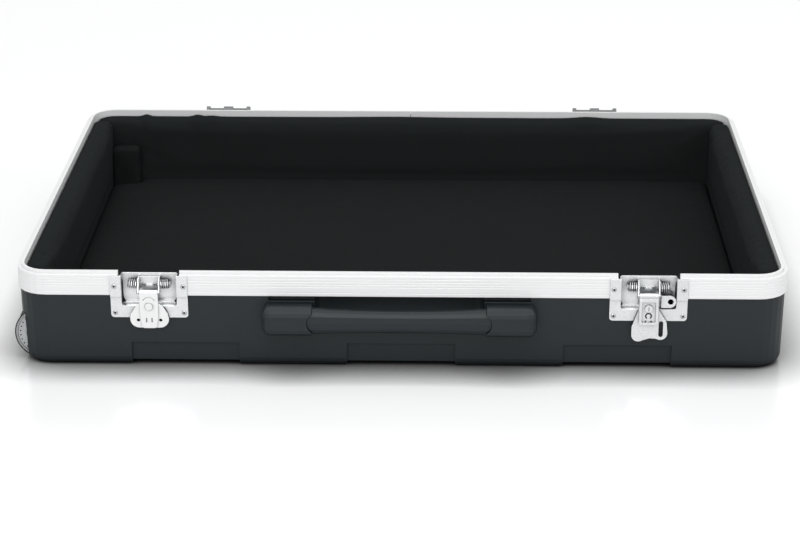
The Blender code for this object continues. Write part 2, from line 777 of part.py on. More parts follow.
path, sizes = [], []
for number in range(grip_sections + 1):
    share = 2 * number / grip_sections - 1
    path.append((grip_reach * share, -grip_centre - grip_bow * (1 - share ** 2), handle_middle))
    sizes.append(1 + (grip_flare_share - 1) * share ** 2)
grip = solid("handle_grip", swept(grip_section(), path, sizes, False), black_handle, handle_spot)
slot_half = core_width / 2 + fit
slot_side = core_sheet / 2 + fit
slot = cutter("handle_core_slot", box((-core_reach - fit, -grip_centre - slot_side, handle_middle - slot_half),
                                      (core_reach + fit, -grip_centre + slot_side, handle_middle + slot_half)),
              handle_spot)
half = handle_height / 2
span = handle_proud + 2 * over
for name, sign in (("left", -1), ("right", 1)):
    nose = sign * (grip_reach - grip_nose)
    end = sign * handle_length / 2
    low, high = sorted((sign * grip_half, sign * (grip_reach + over)))
    trim = cutter(f"handle_{name}_trim", box((low, -handle_proud - over, handle_middle - half - over),
                                             (high, over, handle_middle + half + over)), handle_spot)
    combine(trim, cutter(f"handle_{name}_nose", rod(1, (nose, handle_middle), grip_nose, -span, span, nose_steps),
                         handle_spot))
    combine(grip, trim)
    low, high = sorted((sign * (grip_half + fit), end))
    cap = box((low, -handle_proud, handle_middle - half), (high, cap_foot, handle_middle + half))
    round_edges(cap, cap_round, cap_steps,
                lambda a, b: min(a.y, b.y) < -handle_proud + weld and abs(a.z - b.z) < weld
                and abs(a.y - b.y) < weld
                or max(abs(a.x - end), abs(b.x - end)) < weld)
    cap = solid(f"handle_cap_{name}", cap, black_handle, handle_spot)
    combine(cap, cutter(f"handle_{name}_seat",
                        rod(1, (nose, handle_middle), grip_nose + fit, -span, span, nose_steps), handle_spot))
    combine(cap, slot)
    middle = sign * (grip_half + handle_length / 2) / 2
    back = wall + face_drop(handle_middle - backing_height / 2) + fit
    sheet = box((middle - backing_length / 2, back, handle_middle - backing_height / 2),
                (middle + backing_length / 2, back + backing_sheet, handle_middle + backing_height / 2))
    solid(f"handle_backing_{name}", sheet, pin_steel, handle_spot)
combine(grip, slot)
solid("handle_core", box((-core_reach, -grip_centre - core_sheet / 2, handle_middle - core_width / 2),
                         (core_reach, -grip_centre + core_sheet / 2, handle_middle + core_width / 2)),
      pin_steel, handle_spot)


# Latches

def dish(side, spot):
    """Pressed dish: a stepped flange on the rim and the shell, and a tray behind it."""
    top = latch_reach - flange_drop
    ring = [(dish_half, top), (dish_half, dish_low + dish_corner)]
    ring += arc(dish_half - dish_corner, dish_low + dish_corner, dish_corner, 0, -90, 3)
    ring += arc(-dish_half + dish_corner, dish_low + dish_corner, dish_corner, -90, -180, 3)
    ring += [(-dish_half, top), (-flange_half, top)]
    ring += arc(-flange_half + flange_corner, flange_low + flange_corner, flange_corner, 180, 270, 3)
    ring += arc(flange_half - flange_corner, flange_low + flange_corner, flange_corner, 270, 360, 3)
    ring += [(flange_half, top)]
    back = shell_gap - fit
    piece = solid(f"{side}_dish", plate([ring], "XZ", -flange_face, back), plated_steel, spot)
    step = latch_reach - rim_leg - fit
    side_reach = flange_half + over
    front = box((-side_reach, -flange_face - over, flange_low - over),
                (side_reach, back - dish_sheet, step - joggle_height))
    behind = box((-side_reach, -fit, step), (side_reach, back + over, latch_reach + over))
    front = cutter(f"{side}_flange_front", front, spot)
    combine(piece, front)
    combine(piece, cutter(f"{side}_flange_back", behind, spot))
    reach = dish_half + dish_sheet
    body = box((-reach, -flange_face + weld, dish_low - dish_sheet),
               (reach, panel_face + dish_sheet, top))
    round_edges(body, dish_corner + dish_sheet, 3, lambda a, b: abs(a.y - b.y) > weld and a.z < dish_low)
    hollow = box((-dish_half, -flange_face - over, dish_low), (dish_half, panel_face, latch_reach + over))
    round_edges(hollow, dish_corner, 3,
                lambda a, b: abs(a.y - b.y) > weld and a.z < latch_reach
                or min(a.y, b.y) > panel_face - weld and max(a.z, b.z) < latch_reach)
    body = cutter(f"{side}_dish_body", body, spot)
    combine(body, cutter(f"{side}_dish_hollow", hollow, spot))
    combine(body, front)
    for sign in (-1, 1):
        low, high = sorted((sign * (reach + over), sign * (reach - dish_corner)))
        corner = plate([[(sign * (reach + over), top + over), (sign * (reach + over), top - dish_corner),
                         (sign * reach, top - dish_corner)]
                        + arc(sign * (reach - dish_corner), top - dish_corner, dish_corner,
                              0 if sign > 0 else 180, 90, 3)
                        + [(sign * (reach - dish_corner), top + over)]],
                       "XZ", back + fit, panel_face + over)
        combine(body, cutter(f"{side}_dish_corner_{'a' if sign < 0 else 'b'}", corner, spot))
    combine(piece, body, "UNION")


def spring(side, name, start, spot):
    """Torsion spring: a helix about its stud, from start away from the bracket."""
    curve = bpy.data.curves.new(f"{side}_spring_{name}", "CURVE")
    curve.dimensions = "3D"
    curve.bevel_depth = spring_wire / 2
    curve.bevel_resolution = 1
    curve.use_fill_caps = True
    count = spring_turns * spring_steps
    spline = curve.splines.new("POLY")
    spline.points.add(count)
    points = []
    for number in range(count + 1):
        angle = 2 * math.pi * number / spring_steps
        along = start + math.copysign(spring_pitch, start) * number / spring_steps
        points.append((along, stud_drop + spring_radius * math.cos(angle),
                       stud_height + spring_radius * math.sin(angle)))
        spline.points[number].co = (*points[-1], 1)
    least = min(math.dist(points[n], points[m]) for n in range(count + 1)
                for m in range(n + spring_steps // 2, count + 1))
    print(f"{side} spring {name}: least gap to itself {(least - spring_wire) / mm:.2f} mm")
    curve.materials.append(pin_steel)
    piece = bpy.data.objects.new(f"{side}_spring_{name}", curve)
    piece.parent = spot
    parts.objects.link(piece)


def headed(name, centre, radius, low, high, head, thick, headed_ends, spot):
    """A pin along X; headed_ends names the ends, low or high, that have a head beyond them."""
    pin = solid(name, rod(0, centre, radius, low, high, small_steps), pin_steel, spot)
    for tag, start, end in (("low", low - thick, low + weld), ("high", high - weld, high + thick)):
        if tag in headed_ends:
            head_tool = cutter(f"{name}_head_{tag}", rod(0, centre, head, start, end, small_steps), spot)
            combine(pin, head_tool, "UNION")


def mechanism(side, spot):
    """Bracket, studs with their springs, and hinge pin, fixed in the dish."""
    back = panel_face - fit
    pin = (-pin_drop, pin_height)
    stud = (stud_drop, stud_height)
    ring = [(back, bracket_low), (back, bracket_high), (back - bracket_top, bracket_high)]
    ring += arc(*pin, bracket_nose, *ear_turns, 6)
    ear = [ring, circle(*pin, pin_radius + fit), circle(*stud, stud_radius + fit)]
    inner = bracket_half - bracket_sheet
    piece = solid(f"{side}_bracket", plate(ear, "YZ", -bracket_half, -inner), plated_steel, spot)
    combine(piece, cutter(f"{side}_second_ear", plate(ear, "YZ", inner, bracket_half), spot), "UNION")
    web = box((-bracket_half + weld, back - bracket_sheet, bracket_low + weld),
              (bracket_half - weld, back - weld, bracket_high - weld))
    combine(piece, cutter(f"{side}_bracket_web", web, spot), "UNION")
    headed(f"{side}_hinge_pin", pin, pin_radius, -bracket_half - fit, bracket_half + fit, pin_head,
           pin_head_height, ["low", "high"], spot)
    first = bracket_half + fit + spring_wire / 2
    last = first + spring_turns * spring_pitch + spring_wire / 2 + fit
    for name, sign, end in (("left", -1, "low"), ("right", 1, "high")):
        low, high = sorted((sign * inner, sign * last))
        headed(f"{side}_stud_{name}", stud, stud_radius, low, high, stud_head, stud_head_height, [end], spot)
        spring(side, name, sign * first, spot)


def arm_plate(name, half, foot, low, pivot, holes, spot, thick_front):
    """An arm that hangs from the hinge pin; its origin is on the pin."""
    hinge = (0, -pin_drop, pin_height)
    drop = pin_height - low
    shoulder = arm_shoulder - pin_height
    ring = [(half, -fit), (half, shoulder)]
    ring += arc(foot - arm_corner, -drop + arm_corner, arm_corner, 0, -90, 3)
    ring += arc(-foot + arm_corner, -drop + arm_corner, arm_corner, -90, -180, 3)
    ring += [(-half, shoulder), (-half, -fit)]
    rings = [ring, circle(0, pivot - pin_height, pivot_radius + fit)] + holes
    piece = solid(name, plate(rings, "XZ", pin_drop - thick_front, pin_drop - arm_back), plated_steel, spot,
                  hinge)
    knuckle = rod(0, (0, 0), knuckle_radius, -half + weld, half - weld)
    combine(piece, cutter(f"{name}_knuckle", knuckle, spot, hinge), "UNION")
    combine(piece, cutter(f"{name}_bore", rod(0, (0, 0), pin_radius + fit, -half - over, half + over, small_steps),
                          spot, hinge))
    return piece


def slot_ring(x, middle, width, length):
    """A slot with round ends, upright."""
    radius = width / 2
    up = length / 2 - radius
    return arc(x, middle + up, radius, 0, 180, 4) + arc(x, middle - up, radius, 180, 360, 4)


def pivot(name, height, spot, radius, head, front, keyed):
    """The stud that carries a wing or paddle: head in front of the arm, tail behind the wing."""
    front_face = front + fit
    tail_face = flange_face + wing_gap - fit
    location = (0, -arm_back, height)
    piece = solid(name, rod(1, (0, 0), pivot_radius, arm_back - front_face - weld,
                            arm_back - tail_face + weld), pin_steel, spot, location)
    knob = rod(1, (0, 0), radius, arm_back - front_face - head, arm_back - front_face)
    combine(piece, cutter(f"{name}_head", knob, spot, location), "UNION")
    tail = rod(1, (0, 0), pivot_tail, arm_back - tail_face, arm_back - tail_face + pivot_tail_height)
    combine(piece, cutter(f"{name}_tail", tail, spot, location), "UNION")
    if keyed:
        key = box((-keyway_width / 2, arm_back - front_face - head - over, -keyway_length / 2),
                  (keyway_width / 2, arm_back - front_face - head + keyway_depth, keyway_length / 2))
        combine(piece, cutter(f"{name}_keyway", key, spot, location))


def left_moving(spot):
    """Plain arm with a two-lobed wing."""
    middle = arm_slot_height - pin_height
    slots = [slot_ring(sign * arm_slot_place, middle, arm_slot_width, arm_slot_length) for sign in (-1, 1)]
    arm_plate("left_arm", arm_half, arm_foot, arm_low, pivot_height, slots, spot, arm_face)
    pivot("left_rivet", pivot_height, spot, pivot_head, pivot_head_height, arm_face, False)
    right = arc(wing_half - wing_lobe_radius, wing_lobe_radius - wing_drop, wing_lobe_radius, *wing_turns, 8)
    right += [(wing_half * a, -wing_drop * b) for a, b in wing_shoulder_shares]
    right += arc(0, 0, wing_crown, *wing_crown_turns, 4)
    ring = right + [(-x, z) for x, z in reversed(right[:-1])]
    holes = [circle(sign * wing_hole_place, -wing_hole_drop, wing_hole_radius) for sign in (-1, 1)]
    wing = plate([ring, circle(0, 0, pivot_radius + fit)] + holes, "XZ", 0, wing_sheet)
    solid("left_wing", wing, plated_steel, spot, (0, -wing_face, pivot_height))


def right_moving(spot):
    """Trough-shaped arm with a lock, and a slotted paddle."""
    front = arm_face + lock_arm_rise
    piece = arm_plate("right_arm", lock_arm_half, lock_arm_half, lock_arm_low, lock_height, [], spot, front)
    inner = lock_arm_half - lock_arm_wall
    top = -knuckle_radius - lock_arm_top
    trough = box((-inner, pin_drop - front - over, lock_arm_low - pin_height + lock_arm_wall),
                 (inner, pin_drop - arm_face, top))
    round_edges(trough, lock_arm_wall / 2, 2, lambda a, b: abs(a.y - b.y) > weld)
    combine(piece, cutter("right_arm_trough", trough, spot, (0, -pin_drop, pin_height)))
    shave = box((-lock_arm_half - over, -over - knuckle_radius, -knuckle_radius),
                (lock_arm_half + over, -knuckle_radius, knuckle_radius + over))
    combine(piece, cutter("right_arm_shave", shave, spot, (0, -pin_drop, pin_height)))
    pivot("right_lock", lock_height, spot, lock_radius, lock_rise, arm_face, True)
    ring = [(-paddle_left * a, -paddle_drop * b) for a, b in paddle_left_neck_shares]
    ring += arc(paddle_lobe - paddle_left, paddle_lobe - paddle_drop, paddle_lobe, *paddle_left_turns, 7)
    ring.append((paddle_right * paddle_dip_shares[0], -paddle_drop * paddle_dip_shares[1]))
    ring += arc(paddle_right - paddle_lobe, paddle_lobe - paddle_right_drop, paddle_lobe,
                *paddle_right_turns, 7)
    ring += [(paddle_right * a, -paddle_drop * b) for a, b in paddle_neck_shares]
    holes = [circle(0, 0, pivot_radius + fit),
             slot_ring(slot_place, -(slot_high + slot_low) / 2, slot_width, slot_low - slot_high)]
    solid("right_paddle", plate([ring] + holes, "XZ", 0, wing_sheet), plated_steel, spot,
          (0, -wing_face, lock_height))


def lug(spot):
    """Bent padlock lug: a foot on the dish's panel, a leg and a tab with a hole."""
    back = panel_face - fit
    front = -flange_face + lug_behind
    ring = [(lug_left, front), (lug_right, front), (lug_right, front + lug_sheet),
            (lug_left + lug_sheet, front + lug_sheet), (lug_left + lug_sheet, back - lug_sheet),
            (lug_foot, back - lug_sheet), (lug_foot, back), (lug_left, back)]
    piece = solid("right_lug", plate([ring], "XY", lug_low, lug_high), plated_steel, spot)
    middle = (lug_low + lug_high) / 2
    radius = (lug_high - lug_low) / 2
    centre = lug_right - radius
    shape = [(lug_left - over, lug_low - weld)] + arc(centre, middle, radius + weld, -90, 90, 10)
    shape += [(lug_left - over, lug_high + weld)]
    hole = circle(lug_hole_place, middle, lug_hole)
    tab = cutter("lug_tab", plate([shape, hole], "XZ", front - over, front + lug_sheet + weld), spot)
    foot = cutter("lug_leg", box((lug_left - over, front + lug_sheet, lug_low - over),
                                 (lug_right + over, back + over, lug_high + over)), spot)
    combine(tab, foot, "UNION")
    combine(piece, tab, "INTERSECT")


for side, spot in latch_spots.items():
    dish(side, spot)
    mechanism(side, spot)
left_moving(latch_spots["left"])
right_moving(latch_spots["right"])
lug(latch_spots["right"])


# Take-apart hinge halves, from the rim's back face and the seat

def hinge(side, spot):
    """Leaf on the rim with three knuckles, and the pin that the lid's half hooks over."""
    back = fit + hinge_sheet
    bands = [(-hinge_half, -hinge_half + hinge_end), (-hinge_barrel_half, hinge_barrel_half),
             (hinge_half - hinge_end, hinge_half)]
    leaf = box((-hinge_half, fit, -leaf_low), (hinge_half, back, -leaf_high))
    round_edges(leaf, hinge_sheet, 2, lambda a, b: abs(a.y - b.y) > weld and a.z < -leaf_high - weld)
    piece = solid(f"hinge_leaf_{side}", leaf, plated_steel, spot)
    for number, (low, high) in enumerate(bands):
        arm = [(fit, -leaf_high - hinge_sheet), (back, -leaf_high - 2 * hinge_sheet),
               (hinge_axis + hinge_sheet, -hinge_knuckle + fit), (hinge_axis - hinge_knuckle / 2, 0),
               (fit, -leaf_high + fit)]
        if number == 1:
            low, high = low - weld, high + weld
        web = cutter(f"{side}_hinge_web_{number + 1}", plate([arm], "YZ", low, high), spot)
        barrel = rod(0, (hinge_axis, 0), hinge_knuckle, low - weld, high + weld,
                     small_steps)
        combine(piece, web, "UNION")
        combine(piece, cutter(f"{side}_hinge_barrel_{number + 1}", barrel, spot), "UNION")
    bore_tool = rod(0, (hinge_axis, 0), hinge_pin_radius + fit, -hinge_half - over, hinge_half + over,
                    small_steps)
    combine(piece, cutter(f"{side}_hinge_bore", bore_tool, spot))
    solid(f"hinge_pin_{side}", rod(0, (hinge_axis, 0), hinge_pin_radius, -hinge_half - fit,
                                   hinge_half + fit, small_steps), pin_steel, spot)


for side, spot in hinge_spots.items():
    hinge(side, spot)
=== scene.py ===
# Looks of the base half of a moulded mixer case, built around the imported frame.
# Metres, +Z up, +X to the right and -Y towards the camera.
import math
import time

import bmesh
import bpy
import numpy as np
from mathutils import Matrix, Vector


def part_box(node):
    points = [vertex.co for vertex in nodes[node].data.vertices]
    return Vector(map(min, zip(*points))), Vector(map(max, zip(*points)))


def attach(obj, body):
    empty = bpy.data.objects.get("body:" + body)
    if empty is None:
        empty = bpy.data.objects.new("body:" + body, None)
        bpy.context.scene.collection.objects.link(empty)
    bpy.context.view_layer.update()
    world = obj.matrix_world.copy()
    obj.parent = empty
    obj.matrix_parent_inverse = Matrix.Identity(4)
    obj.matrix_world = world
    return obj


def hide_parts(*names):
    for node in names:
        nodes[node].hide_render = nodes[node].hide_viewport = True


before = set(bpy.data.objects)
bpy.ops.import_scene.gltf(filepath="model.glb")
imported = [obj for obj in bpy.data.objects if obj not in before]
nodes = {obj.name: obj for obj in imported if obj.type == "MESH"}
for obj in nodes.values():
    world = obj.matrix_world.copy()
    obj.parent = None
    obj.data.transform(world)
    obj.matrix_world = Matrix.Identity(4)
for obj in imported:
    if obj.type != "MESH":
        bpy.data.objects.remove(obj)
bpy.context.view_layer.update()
mm = 0.001
started = time.time()


def report(stage):
    print(f"{stage}: {time.time() - started:.1f} s")


# Camera, at the photograph's place

cameraSettings = {"spot": (0.05705, -2.62725, 1.0322), "pitchDown": 21.64, "yaw": -1.36, "roll": -0.12,
                  "lens": 103.56, "sensor": 36}


def placeCamera(settings):
    pitch, yaw, roll = (math.radians(settings[k]) for k in ("pitchDown", "yaw", "roll"))
    ahead = Vector((math.sin(yaw) * math.cos(pitch), math.cos(yaw) * math.cos(pitch), -math.sin(pitch)))
    right = Vector((math.cos(yaw), -math.sin(yaw), 0))
    up = right.cross(ahead)
    side = right * math.cos(roll) + up * math.sin(roll)
    top = up * math.cos(roll) - right * math.sin(roll)
    turn = Matrix((side, top, -ahead)).transposed().to_4x4()
    lens = bpy.data.cameras.new("photoCamera")
    lens.lens = settings["lens"]
    lens.sensor_width = settings["sensor"]
    camera = bpy.data.objects.new("photoCamera", lens)
    camera.matrix_world = Matrix.Translation(settings["spot"]) @ turn
    bpy.context.scene.collection.objects.link(camera)
    bpy.context.scene.camera = camera


placeCamera(cameraSettings)


# Shader node groups, each built once

def newGroup(name, inputs, outputs):
    group = bpy.data.node_groups.new(name, "ShaderNodeTree")
    for label, kind, value in inputs:
        made = group.interface.new_socket(label, in_out="INPUT", socket_type=kind)
        if value is not None:
            made.default_value = value
    for label, kind in outputs:
        group.interface.new_socket(label, in_out="OUTPUT", socket_type=kind)
    return group, group.nodes.new("NodeGroupInput"), group.nodes.new("NodeGroupOutput")


def node(tree, kind, links=(), **values):
    made = tree.nodes.new(kind)
    for key, value in values.items():
        if hasattr(made, key):
            setattr(made, key, value)
    for socket, source in links:
        if isinstance(source, bpy.types.NodeSocket):
            tree.links.new(source, made.inputs[socket])
        else:
            made.inputs[socket].default_value = source
    return made


def noiseOf(tree, vector, scale, detail=3, roughness=0.55):
    made = node(tree, "ShaderNodeTexNoise", [("Vector", vector), ("Scale", scale), ("Detail", detail),
                                             ("Roughness", roughness)])
    return made.outputs["Fac"]


def mathOf(tree, operation, first, second=0.0, clamp=False):
    return node(tree, "ShaderNodeMath", [(0, first), (1, second)], operation=operation, use_clamp=clamp).outputs[0]


def stretched(tree, vector, scale):
    return node(tree, "ShaderNodeMapping", [("Vector", vector), ("Scale", scale)]).outputs["Vector"]


def buildGrain():
    # fine pits of a moulded surface: two noises, the finer one sharpened
    group, given, out = newGroup("mouldedGrain", [("Position", "NodeSocketVector", None),
                                                  ("Size", "NodeSocketFloat", 900.0)],
                                 [("Height", "NodeSocketFloat"), ("Blotch", "NodeSocketFloat")])
    fine = node(group, "ShaderNodeTexVoronoi", [("Vector", given.outputs["Position"]),
                                                ("Scale", given.outputs["Size"])], feature="F1").outputs["Distance"]
    broad = noiseOf(group, given.outputs["Position"], 14.0, 4)
    middle = noiseOf(group, given.outputs["Position"], 260.0, 2)
    height = mathOf(group, "ADD", fine, mathOf(group, "MULTIPLY", middle, 0.6))
    group.links.new(height, out.inputs["Height"])
    group.links.new(broad, out.inputs["Blotch"])
    return group


def buildEdgeWear():
    # how far a softened normal leaves the face's own, broken up by noise, and that softened normal
    group, given, out = newGroup("edgeWear", [("Position", "NodeSocketVector", None),
                                              ("Radius", "NodeSocketFloat", 0.0006),
                                              ("Amount", "NodeSocketFloat", 0.5)],
                                 [("Mask", "NodeSocketFloat"), ("Normal", "NodeSocketVector")])
    soft = node(group, "ShaderNodeBevel", [("Radius", given.outputs["Radius"])], samples=6).outputs["Normal"]
    own = node(group, "ShaderNodeNewGeometry").outputs["Normal"]
    dot = node(group, "ShaderNodeVectorMath", [(0, soft), (1, own)], operation="DOT_PRODUCT").outputs["Value"]
    bend = mathOf(group, "SUBTRACT", 1.0, dot)
    noise = noiseOf(group, given.outputs["Position"], 120.0, 4)
    broken = mathOf(group, "MULTIPLY", mathOf(group, "MULTIPLY", bend, 9.0), noise)
    mask = mathOf(group, "MULTIPLY", broken, given.outputs["Amount"], clamp=True)
    group.links.new(mask, out.inputs["Mask"])
    group.links.new(soft, out.inputs["Normal"])
    return group


def buildBrushed():
    # fine drawn lines: noise squeezed across the lines and drawn out along them
    group, given, out = newGroup("drawnLines", [("Position", "NodeSocketVector", None)],
                                 [("Lines", "NodeSocketFloat"), ("Stain", "NodeSocketFloat")])
    lines = noiseOf(group, given.outputs["Position"], 1.0, 3, 0.7)
    stain = noiseOf(group, given.outputs["Position"], 0.02, 3)
    group.links.new(lines, out.inputs["Lines"])
    group.links.new(stain, out.inputs["Stain"])
    return group


def buildPaintedCornerShade():
    # painted shade in corners: how much of the near space is filled by other surfaces, as a mask that darkens the
    # colour there
    group, given, out = newGroup("hollowDirt", [("Reach", "NodeSocketFloat", 0.006),
                                                ("Amount", "NodeSocketFloat", 1.0)],
                                 [("Mask", "NodeSocketFloat")])
    near = node(group, "ShaderNodeAmbientOcclusion", [("Distance", given.outputs["Reach"])], samples=8)
    filled = mathOf(group, "SUBTRACT", 1.0, near.outputs["AO"])
    filled = mathOf(group, "POWER", filled, 1.3)
    group.links.new(mathOf(group, "MULTIPLY", filled, given.outputs["Amount"], clamp=True), out.inputs["Mask"])
    return group


def buildWeave():
    # threads crossing on every side: the sum of one sine wave along each axis, with loose fibres over it
    group, given, out = newGroup("liningWeave", [("Position", "NodeSocketVector", None),
                                                 ("Pitch", "NodeSocketFloat", 5200.0)],
                                 [("Height", "NodeSocketFloat"), ("Lint", "NodeSocketFloat"),
                                  ("Fade", "NodeSocketFloat")])
    apart = node(group, "ShaderNodeSeparateXYZ", [("Vector", given.outputs["Position"])])
    waves = [mathOf(group, "SINE", mathOf(group, "MULTIPLY", apart.outputs[axis], given.outputs["Pitch"]))
             for axis in ("X", "Y", "Z")]
    threads = mathOf(group, "ADD", mathOf(group, "ADD", waves[0], waves[1]), waves[2])
    fibres = noiseOf(group, given.outputs["Position"], 1400.0, 3, 0.8)
    height = mathOf(group, "ADD", mathOf(group, "MULTIPLY", threads, 0.3), fibres)
    lint = noiseOf(group, given.outputs["Position"], 420.0, 5, 0.7)
    lint = mathOf(group, "MULTIPLY", mathOf(group, "SUBTRACT", lint, 0.66), 5.0, clamp=True)
    group.links.new(height, out.inputs["Height"])
    group.links.new(lint, out.inputs["Lint"])
    group.links.new(noiseOf(group, given.outputs["Position"], 7.0, 4), out.inputs["Fade"])
    return group


grainGroup = buildGrain()
wearGroup = buildEdgeWear()
drawnGroup = buildBrushed()
weaveGroup = buildWeave()
hollowGroup = buildPaintedCornerShade()


# Materials

def startMaterial(name, constants):
    made = bpy.data.materials.new(name)
    made.use_nodes = True
    shader = made.node_tree.nodes["Principled BSDF"]
    for socket, value in constants.items():
        shader.inputs[socket].default_value = value
    position = made.node_tree.nodes.new("ShaderNodeTexCoord").outputs["Object"]
    return made, made.node_tree, shader, position


def placed(tree, group, links):
    return node(tree, "ShaderNodeGroup", links, node_tree=group)


def blendColour(tree, factor, first, second):
    return node(tree, "ShaderNodeMix", [(0, factor), (6, first), (7, second)], data_type="RGBA").outputs[2]


def ranged(tree, value, low, high):
    return node(tree, "ShaderNodeMapRange", [("Value", value), ("To Min", low), ("To Max", high)],
                clamp=True).outputs[0]


def bumped(tree, height, strength, distance, normal=None):
    links = [("Height", height), ("Strength", strength), ("Distance", distance)]
    if normal is not None:
        links.append(("Normal", normal))
    return node(tree, "ShaderNodeBump", links).outputs["Normal"]


def mouldedPlastic(name, look):
    # grained plastic: blotchy colour, rubbed edges, pitted bump
    made, tree, shader, position = startMaterial(name, {"Specular IOR Level": look["specular"],
                                                        "Base Color": (*look["colour"], 1)})
    grain = placed(tree, grainGroup, [("Position", position), ("Size", look["grainSize"])])
    wear = placed(tree, wearGroup, [("Position", position), ("Radius", look["edge"]), ("Amount", look["wear"])])
    tone = blendColour(tree, grain.outputs["Blotch"], (*look["colour"], 1), (*look["colourTwo"], 1))
    tone = blendColour(tree, wear.outputs["Mask"], tone, (*look["worn"], 1))
    tree.links.new(tone, shader.inputs["Base Color"])
    tree.links.new(ranged(tree, grain.outputs["Blotch"], *look["roughness"]), shader.inputs["Roughness"])
    tree.links.new(bumped(tree, grain.outputs["Height"], look["bump"], look["depth"], wear.outputs["Normal"]),
                   shader.inputs["Normal"])
    return made


# dark grey of the painted shade that metal parts get in corners and hollows
paintedShadeColour = (0.055, 0.060, 0.064, 1)


def metalFinish(name, look):
    # drawn, plated or turned metal: lines along one direction, faint stains, worn edges, and painted shade
    # darkening the corners
    made, tree, shader, position = startMaterial(name, {"Metallic": look.get("metallic", 1.0),
                                                        "Base Color": (*look["colour"], 1)})
    lines = placed(tree, drawnGroup, [("Position", stretched(tree, position, look["stretch"]))])
    wear = placed(tree, wearGroup, [("Position", position), ("Radius", look["edge"]), ("Amount", look["wear"])])
    tone = blendColour(tree, lines.outputs["Stain"], (*look["colour"], 1), (*look["colourTwo"], 1))
    tone = blendColour(tree, wear.outputs["Mask"], tone, (*look["worn"], 1))
    # painted shade: the colour turns dark grey where other surfaces crowd close
    cornerShade = placed(tree, hollowGroup, [("Reach", look["hollow"]), ("Amount", look["cornerShade"])])
    tone = blendColour(tree, cornerShade.outputs["Mask"], tone, paintedShadeColour)
    tree.links.new(tone, shader.inputs["Base Color"])
    tree.links.new(ranged(tree, lines.outputs["Lines"], *look["roughness"]), shader.inputs["Roughness"])
    tree.links.new(bumped(tree, lines.outputs["Lines"], look["bump"], look["depth"], wear.outputs["Normal"]),
                   shader.inputs["Normal"])
    return made


def wovenCloth(name, look):
    # black cloth over foam: woven bump, pale lint and a soft sheen
    made, tree, shader, position = startMaterial(name, {"Roughness": look["rough"],
                                                        "Specular IOR Level": look["specular"],
                                                        "Sheen Weight": look["sheen"],
                                                        "Sheen Roughness": look["sheenRoughness"],
                                                        "Sheen Tint": (*look["sheenTint"], 1)})
    cloth = placed(tree, weaveGroup, [("Position", position), ("Pitch", look["pitch"])])
    tone = blendColour(tree, cloth.outputs["Fade"], (*look["colour"], 1), (*look["colourTwo"], 1))
    tone = blendColour(tree, cloth.outputs["Lint"], tone, (*look["lint"], 1))
    tree.links.new(tone, shader.inputs["Base Color"])
    tree.links.new(bumped(tree, cloth.outputs["Height"], look["bump"], look["depth"]), shader.inputs["Normal"])
    return made


shellFinish = mouldedPlastic("shellPlastic", {
    "colour": (0.0085, 0.0138, 0.0166), "colourTwo": (0.0112, 0.0165, 0.0193), "worn": (0.045, 0.050, 0.053),
    "roughness": (0.42, 0.54), "specular": 0.42, "grainSize": 1100.0, "bump": 0.25, "depth": 0.0002,
    "edge": 0.0012, "wear": 0.35})
handleFinish = mouldedPlastic("handlePlastic", {
    "colour": (0.0092, 0.0142, 0.0172), "colourTwo": (0.0116, 0.0166, 0.0196), "worn": (0.050, 0.054, 0.058),
    "roughness": (0.40, 0.50), "specular": 0.42, "grainSize": 1600.0, "bump": 0.16, "depth": 0.00015,
    "edge": 0.0010, "wear": 0.3})
tyreFinish = mouldedPlastic("tyreRubber", {
    "colour": (0.012, 0.012, 0.012), "colourTwo": (0.020, 0.019, 0.018), "worn": (0.05, 0.048, 0.045),
    "roughness": (0.68, 0.85), "specular": 0.4, "grainSize": 700.0, "bump": 0.4, "depth": 0.0003,
    "edge": 0.0008, "wear": 0.8})
hubFinish = mouldedPlastic("hubPlastic", {
    "colour": (0.10, 0.10, 0.105), "colourTwo": (0.13, 0.13, 0.135), "worn": (0.22, 0.22, 0.22),
    "roughness": (0.40, 0.52), "specular": 0.5, "grainSize": 1400.0, "bump": 0.15, "depth": 0.00015,
    "edge": 0.0006, "wear": 0.4})
# near-black: the colour of the dark wheel studs and screw heads, and painted shade in the rivet dimples and the
# right arm's slot
darkFinish = mouldedPlastic("blackAndPaintedShade", {
    "colour": (0.006, 0.006, 0.007), "colourTwo": (0.010, 0.010, 0.011), "worn": (0.02, 0.02, 0.02),
    "roughness": (0.6, 0.7), "specular": 0.2, "grainSize": 1500.0, "bump": 0.1, "depth": 0.0001,
    "edge": 0.0002, "wear": 0.2})
rimFinish = metalFinish("rimAluminium", {
    "colour": (0.94, 0.945, 0.95), "colourTwo": (0.97, 0.972, 0.975), "worn": (0.98, 0.98, 0.98), "metallic": 0.2,
    "roughness": (0.44, 0.56), "stretch": (3.0, 3.0, 3500.0), "bump": 0.08, "depth": 0.0001,
    "edge": 0.0004, "wear": 0.4, "hollow": 0.003, "cornerShade": 0.35})
plateFinish = metalFinish("platedSteel", {
    "colour": (0.80, 0.815, 0.83), "colourTwo": (0.88, 0.89, 0.90), "worn": (0.97, 0.97, 0.97), "metallic": 0.85,
    "roughness": (0.20, 0.32), "stretch": (500.0, 500.0, 500.0), "bump": 0.05, "depth": 0.0001,
    "edge": 0.0005, "wear": 0.6, "hollow": 0.010, "cornerShade": 1.25})
satinFinish = metalFinish("satinSteel", {
    "colour": (0.96, 0.96, 0.965), "colourTwo": (0.98, 0.98, 0.98), "worn": (1.0, 1.0, 1.0), "metallic": 0.75,
    "roughness": (0.30, 0.42), "stretch": (600.0, 600.0, 600.0), "bump": 0.05, "depth": 0.0001,
    "edge": 0.0005, "wear": 0.5, "hollow": 0.004, "cornerShade": 1.1})
